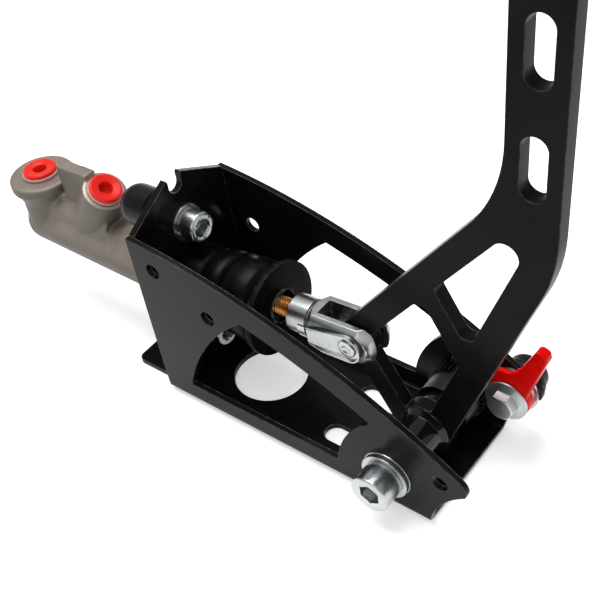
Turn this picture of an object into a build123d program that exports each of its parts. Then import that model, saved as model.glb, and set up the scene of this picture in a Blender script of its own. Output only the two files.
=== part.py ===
from build123d import *
import os
from math import atan2, cos, degrees, hypot, radians, sin, sqrt, tan

# Hydraulic handbrake. Millimetres. +X is the front (lever end), +Z is up and
# the near side is -Y. The origin is on the underside of the base, at mid-width,
# where the rear edges of the side plates meet the floor.

# Folded bracket
channel_width = 57.0
sheet = 2.5
bend_radius = 4.0
rear_lean = 2.5            # degrees that the rear wall leans back
rear_height = 82.0
front_foot = 131.3         # front edge of the base
top_mid_x, top_mid_z = 60.0, 71.2
nose_x, nose_top = 143.6, 33.6
nose_radius = 5.2
nose_turn = -25.0          # degrees, where the nose round ends
front_hollow = 3.2         # depth of the hollow in the front edge
rail_depth = 10.5          # material left above the side openings
opening_floor = 11.0
opening_rear, opening_rear_top = 14.6, 49.9
opening_front, opening_front_top = 90.0, 107.4
opening_bow = 4.6          # bow of the rear and front edges of the opening
tab_length, tab_half_width, tab_corner = 24.0, 23.5, 3.0
floor_hole_x, floor_hole_radius = 33.3, 15.9
slot_width, slot_length, slot_spacing, slot_x = 9.0, 37.0, 25.0, 90.6
side_hole_radius = 3.3
near_side_holes = [(7.9, 70.3), (33.2, 57.7)]
far_side_holes = [(11.0, 56.7)]
stay_hole = (136.2, 27.4)  # near plate hole, in line with the pawl bolt

# Rear wall, measured along its own slope
wall_sheet = 3.0
gable_height, gable_slope = 96.0, 0.52
gable_tip = 4.1
notch_width, notch_floor = 7.0, 86.5
spigot_hole_play = 0.5

# Master cylinder, measured from the rear face of the wall along its own axis
axis_height = 44.1
bolt_spacing = 56.0
flange_thickness = 9.0
flange_centre_radius, flange_ear_radius = 20.0, 9.4
barrel_front_radius, barrel_rear_radius = 13.85, 11.1
barrel_end = 96.0
barrel_end_round = 6.0
spigot_radius, spigot_length = 11.6, 11.0
rear_boss_back, rear_boss_face = 85.5, 24.4
rear_boss_radius, rear_boss_rim = 14.6, 5.5
rear_boss_neck, rear_boss_cone = 11.5, 5.0
bore_radius, bore_end_gap = 7.94, 7.5      # the gap is from the bore's end to the rear port
bore_depth = rear_boss_back - bore_end_gap
mouth_radius, mouth_step = 9.5, 0.5
front_boss_back, front_boss_face = 61.0, 33.3
front_boss_radius, front_boss_tilt = 9.8, 32.5
rib_half_width, rib_top = 3.0, 35.0
rib_behind_rear_boss, rib_before_front_boss = 17.0, 11.0
shoulder_radius, shoulder_top = 8.0, 17.5
shoulder_low_radius = 10.8
shoulder_behind_rear_boss, shoulder_before_front_boss = 6.5, 20.0
port_radius, port_depth = 4.9, 13.0
passage_radius = 1.6
rim_round, boss_edge_round = 1.2, 0.8

# Port plugs
rear_plug_radius, front_plug_radius, plug_head = 7.5, 7.0, 1.5
plug_skirt_overhang, plug_skirt = 0.7, 1.4
plug_recess_radius, plug_recess = 3.0, 1.8
plug_edge_round = 0.5
plug_play = 0.05

# Cylinder internals
piston_play = 0.04
piston_length, piston_front_land, piston_rear_land = 44.0, 10.5, 8.0
piston_waist, piston_waist_front, piston_waist_length = 6.2, 12.0, 18.0
piston_stub, stub_play = 6.0, 0.4          # stub that guides the return spring
seal_width, seal_depth = 3.6, 1.9
cup_radius, cup_play = 5.8, 0.9
stop_washer_thickness, stop_washer_bore = 1.5, 6.6
circlip_thickness, circlip_depth, circlip_width = 1.2, 0.8, 2.1
circlip_gap, clip_play = 5.0, 0.1
spring_wire, spring_radius, spring_turns = 0.8, 5.4, 6.0
spring_play = 0.1

# Pushrod, clevis and boot, measured along the rod from the clevis pin
rod_radius = 4.0
tip_radius = 4.4
tip_back = 5.6             # rod tip centre behind the wall's rear face
clevis_width, fork_gap = 16.0, 8.0
clevis_corner_radius, clevis_rear_turn = 10.1, 2.6
fork_reach, fork_depth = 11.5, 16.0
fork_end_radius, fork_turn = 6.0, 7.9
rod_end_gap = 6.0          # from the rod's front end to the fork's floor
neck_radius, neck_end = 7.7, 30.0
neck_groove_radius, neck_groove = 6.4, 1.3
clevis_square_end = 20.0
clevis_pin_radius, clevis_pin_stand = 4.0, 1.6
pin_clip_radius, pin_clip_thickness = 5.6, 0.8
running_play = 0.05
boot_wall, boot_front, boot_radius = 1.6, 47.6, 20.0
boot_folds = [(14.5, 12.6), (17.0, 15.2), (21.0, 15.2), (25.0, 12.8), (28.0, 16.6),
              (37.0, 17.2), (40.5, 14.2)]
boot_collar_radius, boot_collar = 7.4, 1.2
boot_rim, boot_rim_round = 1.5, 0.6
boot_cuff = 0.5            # cuff past the spigot's end
soft_gap = 0.3

# Lever plate, in side view
pivot_x, pivot_z = 113.6, 18.5
pin_x, pin_z = 84.0, 51.3
plate_thickness = 6.0
eye_radius, hub_radius = 7.8, 11.0
shaft_left, shaft_right = 143.6, 162.6
lever_top = 318.0
upper_beam_angle, upper_beam = 51.8, 10.0
front_beam_angle, front_beam, front_beam_offset = 68.9, 11.7, 10.3
lower_beam_angle, lower_beam, lower_beam_offset = -58.5, 9.2, 5.25
brace_angle, brace, brace_x, brace_z = -59.0, 8.1, 122.5, 78.5
window_top = 122.3
shaft_slot_width, shaft_slot_length = 8.6, 22.0
shaft_slot_first, shaft_slot_pitch = 152.3, 36.7
shaft_slot_count = 2
shaft_bend_rear, shaft_bend_front = 55.0, 65.0

# Grip on the top of the lever
grip_bottom, grip_half_depth, grip_half_width = 216.0, 16.0, 13.5
grip_groove, grip_groove_pitch, grip_groove_width = 1.0, 8.0, 2.0
grip_end, grip_plain, grip_end_round = 4.0, 14.0, 3.0
grip_screw_radius, grip_screw_socket = 2.5, 3.0
grip_screw_head_radius, grip_screw_pocket, grip_screw_head = 4.5, 2.6, 2.0
grip_screw_shares = (0.2, 0.8)             # places along the grip

# Pivot
pivot_bolt_radius = 5.0
pivot_head_radius, pivot_head = 8.0, 10.0
pivot_socket, pivot_socket_depth = 8.0, 5.5
pivot_washer_radius, pivot_washer_thickness = 10.0, 2.0
pivot_shim_radius, pivot_shim_thickness = 10.3, 0.5
tube_radius, bush_radius, bush_flange, bush_length = 8.5, 6.5, 1.2, 12.0
end_play = 0.05
pivot_nut_flats, pivot_nut_thickness = 17.0, 8.0
weld_size = 2.2

# Ratchet and pawl
wheel_radius, wheel_teeth, tooth_depth = 12.5, 36, 1.3
wheel_near, wheel_far = 18.5, 24.5
wheel_hub_radius, wheel_hub_near = 11.0, 9.0
pawl_x, pawl_z = 136.2, 27.4
pawl_near, pawl_thickness = 19.0, 5.0
pawl_hub_radius = 9.0
pawl_tip_lift, pawl_tip_behind = 1.9, 1.1   # tip clear of the teeth, and behind the pivot
pawl_finger = [(7.2, 2.6), (15.0, 26.5), (14.5, 29.4), (10.6, 30.8), (9.2, 27.6), (3.4, 15.8),
               (-3.0, 0.0)]                 # from the pawl's own pivot
pawl_arm_top, pawl_arm_depth, pawl_arm_thickness = 14.0, 7.0, 2.4
pawl_engage = 7.0          # degrees from rest to engaged
pawl_bolt_radius, pawl_flange_radius, pawl_flange = 4.0, 9.0, 1.6
pawl_bolt_flats, pawl_bolt_head, pawl_nut_thickness = 10.0, 4.0, 4.0
pawl_play = 0.1
spacer_lip_radius, spacer_lip = 10.0, 0.9
m8_flats, m8_nut = 13.0, 6.5

# Flange bolts
m8_radius, m8_head_radius, m8_head = 4.0, 6.5, 8.0
m8_socket, m8_socket_depth = 6.0, 4.2
m8_washer_radius, m8_washer, m8_hole = 8.0, 1.6, 4.2
cap_radius, cap_length, cap_wall = 9.0, 18.4, 1.0
cap_dome_share = 0.8       # dome radius over cap radius
screw_head_round = 0.8
nut_play = 0.2
small_cap_radius, small_cap_length = 8.4, 8.6
small_cap_lip_radius, small_cap_lip = 9.6, 2.2
pivot_cap_length = 13.0

half_width = channel_width / 2
inner_half = half_width - sheet
lean = radians(rear_lean)
up_wall = Vector(-sin(lean), 0, cos(lean))
off_wall = Vector(cos(lean), 0, sin(lean))
wall_plane = Plane(origin=(0, 0, 0), x_dir=(0, 1, 0), z_dir=off_wall)
side_view = Plane.XZ


def point_line(point, angle, offset=0.0):
    """A line in side view through a point at an angle, moved to its left by offset."""
    a = radians(angle)
    return (point[0] - offset * sin(a), point[1] + offset * cos(a), cos(a), sin(a))


def meet(first, second):
    """Where two side-view lines cross."""
    x1, z1, u1, v1 = first
    x2, z2, u2, v2 = second
    t = ((x2 - x1) * v2 - (z2 - z1) * u2) / (u1 * v2 - v1 * u2)
    return (x1 + t * u1, z1 + t * v1)


def circle_through(a, b, c):
    """Centre and radius of the circle through three points."""
    d = 2 * (a[0] * (b[1] - c[1]) + b[0] * (c[1] - a[1]) + c[0] * (a[1] - b[1]))
    squares = [p[0] ** 2 + p[1] ** 2 for p in (a, b, c)]
    x = (squares[0] * (b[1] - c[1]) + squares[1] * (c[1] - a[1]) + squares[2] * (a[1] - b[1])) / d
    z = (squares[0] * (c[0] - b[0]) + squares[1] * (a[0] - c[0]) + squares[2] * (b[0] - a[0])) / d
    return (x, z), hypot(a[0] - x, a[1] - z)


def side_slab(face, near, far):
    """A side-view face made solid between two widths."""
    return extrude(Pos(0, far, 0) * (side_view * face), amount=far - near, dir=(0, -1, 0))


def cross_rod(x, z, radius, near, far):
    """A round rod across the object between two widths."""
    return side_slab(Pos(x, z) * Circle(radius), near, far)


def cross_hex(x, z, flats, near, far):
    """A hexagonal prism across the object between two widths."""
    return side_slab(Pos(x, z) * RegularPolygon(flats / 2, 6, major_radius=False), near, far)


def rounded(points, radii):
    """A polygon with its own fillet at each corner; a radius of 0 leaves it sharp."""
    face = Polygon(*points, align=None)
    for point, radius in zip(points, radii):
        if radius:
            corner = face.vertices().sort_by_distance(Vector(point[0], point[1], 0))[0]
            face = fillet(corner, radius)
    return face


def on_cylinder(back, height=0.0, side=0.0):
    """Placement on the cylinder axis: local Z runs forward out of the wall."""
    return wall_plane * Pos(side, axis_height + height, -back)


def disc(radius, length):
    """A round with its base at the origin and its height along +Z."""
    return Pos(0, 0, length / 2) * Cylinder(radius, length)


def ring(outer, inner, length):
    return disc(outer, length) - disc(inner, length)


def save(node, shape):
    export_step(shape, "parts/" + node + ".step")


# Bracket outline
rear_top = (-rear_height * tan(lean), rear_height)
top_centre, top_radius = circle_through(rear_top, (top_mid_x, top_mid_z), (nose_x, nose_top))


def rail_edge(x, inset=0.0):
    """Height of the curved top edge at x, or of the curve that lies inset below it."""
    return top_centre[1] + sqrt((top_radius - inset) ** 2 - (x - top_centre[0]) ** 2)


def bowed(start, end, bow):
    """An arc between two points with its middle moved left of the chord by bow."""
    length = hypot(end[0] - start[0], end[1] - start[1])
    along = ((end[0] - start[0]) / length, (end[1] - start[1]) / length)
    middle = ((start[0] + end[0]) / 2 - along[1] * bow, (start[1] + end[1]) / 2 + along[0] * bow)
    return ThreePointArc(start, middle, end)


def rail_arc(x_from, x_to, inset=0.0):
    x_mid = (x_from + x_to) / 2
    return ThreePointArc(*[(x, rail_edge(x, inset)) for x in (x_from, x_mid, x_to)])


def side_outline():
    """Side plate outline with its curved top rail, round nose and hollow front edge."""
    nose = (nose_x - 1.6, rail_edge(nose_x - 1.6, nose_radius))
    outward = atan2(nose[1] - top_centre[1], nose[0] - top_centre[0])
    angles = [outward, (outward + radians(nose_turn)) / 2, radians(nose_turn)]
    nose_arc = [(nose[0] + nose_radius * cos(a), nose[1] + nose_radius * sin(a)) for a in angles]
    return make_face([
        Line((0, 0), rear_top),
        rail_arc(rear_top[0], nose_arc[0][0]),
        ThreePointArc(*nose_arc),
        bowed(nose_arc[2], (front_foot, 0), -front_hollow),
        Line((front_foot, 0), (0, 0))])


def side_opening():
    """Large cut-out in each side plate, under the top rail."""
    rear_low, front_low = (opening_rear, opening_floor), (opening_front, opening_floor)
    rear_high = (opening_rear_top, rail_edge(opening_rear_top, rail_depth))
    front_high = (opening_front_top, rail_edge(opening_front_top, rail_depth))
    return make_face([
        bowed(rear_low, rear_high, opening_bow),
        rail_arc(opening_rear_top, opening_front_top, rail_depth),
        bowed(front_high, front_low, -opening_bow * 0.8),
        Line(front_low, rear_low)])


def bracket_channel():
    """Base and side plates folded from one sheet, with a mounting tab behind the wall."""
    tall = rear_height + bend_radius
    outer = Pos(0, tall / 2) * Rectangle(channel_width, tall)
    outer = fillet(outer.vertices().group_by(Axis.Y)[0], bend_radius)
    inner = Pos(0, sheet + tall / 2) * Rectangle(channel_width - 2 * sheet, tall)
    inner = fillet(inner.vertices().group_by(Axis.Y)[0], bend_radius - sheet)
    length = nose_x + 2 * nose_radius + tab_length
    section = Plane.YZ * (outer - inner)
    channel = extrude(Pos(-tab_length, 0, 0) * section, amount=length, dir=(1, 0, 0))
    body = channel & side_slab(side_outline(), -half_width, half_width)
    tab = Pos(-tab_length / 2 + sheet, 0) * Rectangle(tab_length + 2 * sheet, 2 * tab_half_width)
    tab = fillet(tab.vertices().group_by(Axis.X)[0], tab_corner)
    body += extrude(tab, amount=sheet)
    body -= side_slab(side_opening(), -half_width, half_width)
    body -= Pos(floor_hole_x, 0, 0) * disc(floor_hole_radius, sheet)
    for side in (-1, 1):
        slot = Pos(slot_x, side * slot_spacing / 2) * SlotOverall(slot_length, slot_width)
        body -= extrude(slot, amount=sheet)
    for x, z in near_side_holes + [stay_hole]:
        body -= cross_rod(x, z, side_hole_radius, -half_width, -inner_half)
    for x, z in far_side_holes:
        body -= cross_rod(x, z, side_hole_radius, inner_half, half_width)
    body -= cross_rod(pawl_x, pawl_z, m8_hole, inner_half, half_width)
    body -= cross_rod(pivot_x, pivot_z, pivot_bolt_radius + running_play, -half_width, half_width)
    return body


def rear_wall():
    """Welded-in wall that carries the cylinder, with a notched gable."""
    edge_height = gable_height - gable_slope * inner_half
    tip_height = gable_height - gable_slope * gable_tip
    relief = bend_radius - sheet + 1.0
    half = notch_width / 2
    side = [(inner_half, sheet + relief), (inner_half, edge_height), (gable_tip, tip_height),
            (half, tip_height - 1.0), (half, notch_floor + half)]
    right = [Line((inner_half - relief, 0), (inner_half - relief, sheet))]
    right.append(Line((inner_half - relief, sheet), side[0]))
    right += [Line(a, b) for a, b in zip(side, side[1:])]
    left = [edge.mirror(Plane.YZ) for edge in right]
    notch = ThreePointArc((half, notch_floor + half), (0, notch_floor), (-half, notch_floor + half))
    floor = Line((-(inner_half - relief), 0), (inner_half - relief, 0))
    face = make_face(right + [notch] + left + [floor])
    wall = wall_plane * extrude(face, amount=wall_sheet, dir=(0, 0, 1))
    wall -= Pos(0, 0, sheet / 2) * Box(4 * wall_sheet, channel_width, sheet)
    wall -= on_cylinder(wall_sheet) * disc(spigot_radius + spigot_hole_play, 3 * wall_sheet)
    for side in (-1, 1):
        wall -= on_cylinder(wall_sheet, side * bolt_spacing / 2) * disc(m8_hole, 3 * wall_sheet)
    return wall


def front_boss_frame():
    """Placement on the front boss: local Z along the boss, origin on the cylinder axis."""
    tilt = radians(front_boss_tilt)
    direction = up_wall * cos(tilt) + off_wall * sin(tilt)
    base = up_wall * axis_height - off_wall * front_boss_back
    return Plane(origin=base, x_dir=(0, 1, 0), z_dir=direction)


def rear_boss_frame():
    base = up_wall * axis_height - off_wall * rear_boss_back
    return Plane(origin=base, x_dir=(0, 1, 0), z_dir=up_wall)


def cylinder_body():
    """Sand-cast master cylinder: tapered barrel, two port bosses, rib and flange."""
    circles = [Circle(flange_centre_radius)]
    circles += [Pos(0, s * bolt_spacing / 2) * Circle(flange_ear_radius) for s in (-1, 1)]
    flange = extrude(make_hull([c.edge() for c in circles]), amount=-flange_thickness)
    barrel_length = barrel_end - flange_thickness
    barrel = Pos(0, 0, -flange_thickness - barrel_length / 2) * Cone(
        barrel_rear_radius, barrel_front_radius, barrel_length)
    barrel = fillet(barrel.edges().group_by(Axis.Z)[0], barrel_end_round)
    body = on_cylinder(0) * (flange + barrel + disc(spigot_radius, spigot_length))
    circles = [Circle(shoulder_low_radius)]
    circles.append(Pos(0, shoulder_top - shoulder_radius) * Circle(shoulder_radius))
    start = rear_boss_back + shoulder_behind_rear_boss
    shoulder = extrude(make_hull([c.edge() for c in circles]),
                       amount=start - front_boss_back + shoulder_before_front_boss)
    body += on_cylinder(start) * fillet(shoulder.edges().group_by(Axis.Z)[0], shoulder_radius / 2)
    rim_base = rear_boss_face - rear_boss_rim
    neck = disc(rear_boss_neck, rim_base)
    neck += Pos(0, 0, rim_base - rear_boss_cone / 2) * Cone(
        rear_boss_neck, rear_boss_radius - rim_round, rear_boss_cone)
    rim = Pos(0, 0, rim_base) * disc(rear_boss_radius, rear_boss_rim)
    body += rear_boss_frame() * (neck + fillet(rim.edges(), rim_round))
    front = disc(front_boss_radius, front_boss_face)
    body += front_boss_frame() * fillet(front.edges().group_by(Axis.Z)[-1], boss_edge_round)
    rib_rear = rear_boss_back - rib_behind_rear_boss
    rib_length = rib_rear - front_boss_back + rib_before_front_boss
    rib = Box(2 * rib_half_width, rib_top, rib_length)
    body += on_cylinder(rib_rear - rib_length / 2, rib_top / 2) * rib
    web_length = rear_boss_back - front_boss_back
    low_web = Box(2 * rib_half_width, rim_base, web_length)
    body += on_cylinder(rear_boss_back - web_length / 2, rim_base / 2) * low_web
    body -= on_cylinder(bore_depth) * disc(bore_radius, bore_depth + spigot_length)
    body -= on_cylinder(mouth_step) * disc(mouth_radius, spigot_length + mouth_step)
    groove = disc(mouth_radius + circlip_depth, circlip_thickness + clip_play)
    body -= on_cylinder(mouth_step - stop_washer_thickness) * groove
    body -= on_cylinder(rear_boss_back) * disc(passage_radius, rear_boss_back - bore_depth)
    body -= rear_boss_frame() * disc(passage_radius, rear_boss_face)
    body -= front_boss_frame() * disc(passage_radius, front_boss_face)
    deep = port_depth + plug_play
    body -= rear_boss_frame() * Pos(0, 0, rear_boss_face - deep) * disc(port_radius, deep)
    body -= front_boss_frame() * Pos(0, 0, front_boss_face - deep) * disc(port_radius, deep)
    for side in (-1, 1):
        hole = disc(m8_hole, flange_thickness)
        body -= on_cylinder(flange_thickness, side * bolt_spacing / 2) * hole
    return body


def port_plug(radius):
    """Push-in plug on a port face: disc head with a blind recess, skirt and shank."""
    plug = Pos(0, 0, -port_depth) * disc(port_radius - plug_play, port_depth)
    plug += disc(radius + plug_skirt_overhang, plug_skirt)
    head = fillet(disc(radius, plug_head).edges().group_by(Axis.Z)[-1], plug_edge_round)
    plug += Pos(0, 0, plug_skirt) * head
    top = plug_skirt + plug_head
    return plug - Pos(0, 0, top - plug_recess) * disc(plug_recess_radius, plug_recess)


def cap_screw(radius, length, head_radius, head, socket, socket_depth):
    """Socket screw: under-head face at the origin, head along +Z, shank along -Z."""
    screw = fillet(disc(head_radius, head).edges().group_by(Axis.Z)[-1], screw_head_round)
    recess = extrude(RegularPolygon(socket / 2, 6, major_radius=False), amount=socket_depth)
    screw -= Pos(0, 0, head - socket_depth) * recess
    return screw + Pos(0, 0, -length) * disc(radius, length)


def hex_nut(flats, thickness, hole):
    blank = extrude(RegularPolygon(flats / 2, 6, major_radius=False), amount=thickness)
    return blank - disc(hole, thickness)


def nut_cap(radius, length, flats, nut):
    """Domed cap over a nut: open end at the origin, dome along +Z."""
    dome = min(cap_dome_share * radius, length - nut - 2 * cap_wall)
    blank = fillet(disc(radius, length).edges().group_by(Axis.Z)[-1], dome)
    room = disc(flats / sqrt(3) + nut_play, nut + 2 * nut_play)
    return blank - room - disc(flats / 3, nut + cap_wall)


screw_grip = wall_sheet + m8_washer
nut_back = flange_thickness + m8_washer
shank_end = nut_back + m8_nut


def at_flange(side, back):
    return on_cylinder(back, side * bolt_spacing / 2)


def flange_screw(side):
    screw = cap_screw(m8_radius, screw_grip + shank_end, m8_head_radius, m8_head,
                      m8_socket, m8_socket_depth)
    return at_flange(side, -screw_grip) * screw


def flange_washers(back):
    washer = ring(m8_washer_radius, m8_hole, m8_washer)
    return Compound([at_flange(side, back) * washer for side in (-1, 1)])


def flange_nuts():
    nut = hex_nut(m8_flats, m8_nut, m8_radius)
    return Compound([at_flange(side, nut_back + m8_nut) * nut for side in (-1, 1)])


def flange_nut_cap(side):
    cap = nut_cap(cap_radius, cap_length, m8_flats, m8_nut)
    return at_flange(side, nut_back) * Rot(0, 180, 0) * cap


# Cylinder internals, all on the cylinder axis
piston_face = 0.6          # behind the wall's rear face
seal_backs = [piston_face + piston_front_land, piston_face + piston_length - piston_rear_land]


def piston():
    body = disc(bore_radius - piston_play, piston_length)
    body -= Pos(0, 0, piston_waist_front) * ring(bore_radius, piston_waist, piston_waist_length)
    for back in seal_backs:
        front = piston_face + piston_length - back
        groove = ring(bore_radius, bore_radius - seal_depth, seal_width)
        body -= Pos(0, 0, front - seal_width) * groove
    cup_back = tip_back + tip_radius + cup_play - cup_radius
    front = piston_length + piston_face - cup_back
    body -= Pos(0, 0, front) * (Sphere(cup_radius) + disc(cup_radius, cup_back))
    stub = disc(spring_radius - spring_wire - stub_play, piston_stub)
    body += Pos(0, 0, -piston_stub) * stub
    return on_cylinder(piston_face + piston_length) * body


def piston_seal(back):
    seal = ring(bore_radius - piston_play / 2, bore_radius - seal_depth, seal_width)
    return on_cylinder(back + seal_width) * seal


def return_spring():
    """Coil spring between the piston and the blind end of the bore."""
    start = piston_face + piston_length + spring_play
    length = bore_depth - spring_play - start
    travel = length - 2 * spring_wire
    path = Helix(travel / spring_turns, travel, spring_radius)
    profile = Plane(origin=path @ 0, z_dir=path % 0) * Circle(spring_wire)
    coil = Pos(0, 0, spring_wire) * sweep(profile, path=path)
    return on_cylinder(start + length) * coil


def stop_washer():
    washer = ring(mouth_radius - clip_play, stop_washer_bore, stop_washer_thickness)
    return on_cylinder(mouth_step) * washer


def circlip():
    """Internal retaining ring with its gap at the bottom."""
    outer = mouth_radius + circlip_depth - clip_play
    clip = ring(outer, outer - circlip_width, circlip_thickness)
    gap = Box(circlip_gap, 3 * circlip_width, 2 * circlip_thickness)
    clip -= Pos(0, -mouth_radius, circlip_thickness / 2) * gap
    return on_cylinder(mouth_step - stop_washer_thickness) * clip


# Rod line from the piston cup to the clevis pin
tip_point = up_wall * axis_height - off_wall * tip_back
pin_point = Vector(pin_x, 0, pin_z)
rod_length = (pin_point - tip_point).length
rod_direction = (pin_point - tip_point).normalized()
rod_plane = Plane(origin=pin_point, x_dir=(0, 1, 0), z_dir=rod_direction)


def along_rod(behind_pin):
    """Placement on the rod: local Z runs forward to the clevis pin."""
    return rod_plane * Pos(0, 0, -behind_pin)


def pushrod():
    """Threaded rod with a ball end that sits in the piston's cup."""
    rod = along_rod(rod_length) * disc(rod_radius, rod_length - fork_depth - rod_end_gap)
    return rod + along_rod(rod_length) * Sphere(tip_radius)


def clevis():
    """Fork turned from square bar: round neck, groove, and a turned end on both ears."""
    bar_length = clevis_square_end + fork_reach
    bar = along_rod(clevis_square_end - bar_length / 2) * Box(clevis_width, clevis_width, bar_length)
    turned = Polygon(
        (0, -clevis_square_end), (neck_radius, -clevis_square_end),
        (clevis_corner_radius, clevis_rear_turn - clevis_square_end),
        (clevis_corner_radius, fork_reach - fork_turn),
        (fork_end_radius, fork_reach), (0, fork_reach), align=None)
    envelope = revolve(Plane.XZ * turned, axis=Axis.Z)
    body = bar & (along_rod(0) * envelope)
    groove_start = clevis_square_end + neck_groove
    body += along_rod(groove_start) * disc(neck_groove_radius, neck_groove)
    body += along_rod(neck_end) * disc(neck_radius, neck_end - groove_start)
    slot = Box(fork_gap, 2 * clevis_width, fork_depth + 2 * fork_reach)
    body -= along_rod(-fork_reach) * Pos(0, 0, -fork_depth / 2) * slot
    body -= along_rod(neck_end) * disc(rod_radius, neck_end - fork_depth)
    return body - cross_rod(pin_x, pin_z, clevis_pin_radius, -clevis_width, clevis_width)


pin_half = clevis_width / 2 + clevis_pin_stand


def clevis_pin():
    return cross_rod(pin_x, pin_z, clevis_pin_radius, -pin_half, pin_half)


def pin_clips():
    """Two push-on rings that hold the clevis pin."""
    clips = []
    for side in (-1, 1):
        near = side * (clevis_width / 2 + pin_clip_thickness / 2) - pin_clip_thickness / 2
        clip = cross_rod(pin_x, pin_z, pin_clip_radius, near, near + pin_clip_thickness)
        clips.append(clip - clevis_pin())
    return Compound(clips)


def boot():
    """Rubber bellows from the cylinder spigot to a lipped front disc round the rod."""
    start, cuff_end = wall_sheet + soft_gap, spigot_length + boot_cuff
    seat = spigot_radius + soft_gap
    last = (boot_front - boot_rim, boot_radius)
    outer = [(start, seat + boot_wall), (cuff_end, seat + boot_wall)] + boot_folds + [last]
    nose = [(boot_front, boot_radius - boot_rim_round),
            (boot_front - boot_rim_round, boot_collar_radius),
            (boot_front + boot_collar, boot_collar_radius)]
    inner = [(c, r - boot_wall) for c, r in boot_folds]
    inner += [(boot_front - 2 * boot_wall, boot_radius - 2 * boot_wall)]
    outline = outer + nose + [(boot_front + boot_collar, 0), (start, 0)]
    hollow = inner + [(boot_front - 2 * boot_wall, 0), (start, 0), (start, seat), (cuff_end, seat)]
    body = revolve(Plane.XZ * Polygon(*[(r, c) for c, r in outline], align=None), axis=Axis.Z)
    body -= revolve(Plane.XZ * Polygon(*[(r, c) for c, r in hollow], align=None), axis=Axis.Z)
    bellows = on_cylinder(0) * body
    return bellows - along_rod(rod_length) * disc(rod_radius + soft_gap, rod_length)


# Lever
pivot_point, pin_spot = (pivot_x, pivot_z), (pin_x, pin_z)
upper_outer = point_line(pin_spot, upper_beam_angle, eye_radius)
upper_inner = point_line(pin_spot, upper_beam_angle, eye_radius - upper_beam)
front_outer = point_line(pivot_point, front_beam_angle, -front_beam_offset)
front_inner = point_line(pivot_point, front_beam_angle, front_beam - front_beam_offset)
lower_outer = point_line(pin_spot, lower_beam_angle, -lower_beam_offset)
lower_inner = point_line(pin_spot, lower_beam_angle, lower_beam - lower_beam_offset)
brace_upper = point_line((brace_x, brace_z), brace_angle, brace / 2)
brace_lower = point_line((brace_x, brace_z), brace_angle, -brace / 2)
shaft_rear = point_line((shaft_left, 0), 90)
shaft_front = point_line((shaft_right, 0), 90)
shaft_middle = (shaft_left + shaft_right) / 2


def lever_plate():
    """Flat-cut lever: slotted shaft on a braced triangle between the pin and the pivot."""
    hub_low = point_line((pivot_x, pivot_z - hub_radius), 0)
    tangent = radians(upper_beam_angle)
    eye_touch = (pin_x - eye_radius * sin(tangent), pin_z + eye_radius * cos(tangent))
    beam_foot = point_line(pin_spot, lower_beam_angle + 90)
    outline = [(shaft_left, lever_top), meet(shaft_rear, upper_outer), eye_touch, pin_spot,
               meet(lower_outer, beam_foot), meet(lower_outer, hub_low), (pivot_x, pivot_z - hub_radius),
               pivot_point, meet(front_outer, point_line(pivot_point, front_beam_angle + 90)),
               meet(front_outer, shaft_front), (shaft_right, lever_top)]
    face = rounded(outline, [6.0, shaft_bend_rear, 0, 0, 0, 7.0, 0, 0, 0, shaft_bend_front, 6.0])
    face += Pos(*pin_spot) * Circle(eye_radius) + Pos(*pivot_point) * Circle(hub_radius)
    window = point_line((0, window_top), 0)
    face -= rounded([meet(upper_inner, brace_upper), meet(brace_upper, front_inner),
                     meet(front_inner, window), meet(window, upper_inner)], [2.5, 3.5, 5.0, 4.5])
    lower_window = rounded([meet(upper_inner, lower_inner), meet(upper_inner, brace_lower),
                            meet(brace_lower, front_inner), meet(front_inner, lower_inner)],
                           [0, 4.0, 2.5, 0])
    lower_window -= Pos(*pivot_point) * Circle(hub_radius)
    lower_window -= Pos(*pin_spot) * Circle(eye_radius)
    face -= lower_window
    for number in range(shaft_slot_count):
        z = shaft_slot_first + number * shaft_slot_pitch
        face -= Pos(shaft_middle, z) * Rot(0, 0, 90) * SlotOverall(shaft_slot_length, shaft_slot_width)
    face -= Pos(*pin_spot) * Circle(clevis_pin_radius + running_play)
    face -= Pos(*pivot_point) * Circle(tube_radius)
    for z in grip_screws:
        face -= Pos(shaft_middle, z) * Circle(grip_screw_radius)
    return side_slab(face, -plate_thickness / 2, plate_thickness / 2)


grip_screws = [grip_bottom + (lever_top - grip_bottom) * share for share in grip_screw_shares]


def grip_half(side):
    """Moulded half of the grip, ribbed across, with a recess that takes the plate."""
    length = lever_top - grip_bottom + grip_end
    middle = grip_bottom + length / 2
    blank = Pos(shaft_middle, 0, middle) * extrude(
        Ellipse(grip_half_depth, grip_half_width), amount=length / 2, both=True)
    blank = fillet(blank.edges(), grip_end_round)
    grooves = int((length - 2 * grip_plain) / grip_groove_pitch) + 1
    for number in range(grooves):
        z = grip_bottom + grip_plain + number * grip_groove_pitch
        groove = Pos(shaft_middle, 0, z) * extrude(
            Ellipse(grip_half_depth + 1, grip_half_width + 1)
            - Ellipse(grip_half_depth - grip_groove, grip_half_width - grip_groove),
            amount=grip_groove_width / 2, both=True)
        blank -= groove
    keep = Box(3 * grip_half_depth, grip_half_width + 2, length + 2)
    blank &= Pos(shaft_middle, side * (grip_half_width + 2) / 2, middle) * keep
    plate_room = Box(shaft_right - shaft_left, plate_thickness, lever_top - grip_bottom)
    blank -= Pos(shaft_middle, 0, (lever_top + grip_bottom) / 2) * plate_room
    for z in grip_screws:
        reach = (0, grip_half_width) if side > 0 else (-grip_half_width, 0)
        blank -= cross_rod(shaft_middle, z, grip_screw_radius, *reach)
        seat = grip_half_width - grip_screw_pocket
        pocket = (seat, grip_half_width) if side > 0 else (-grip_half_width, -seat)
        blank -= cross_rod(shaft_middle, z, grip_screw_head_radius, *pocket)
    return blank


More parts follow.
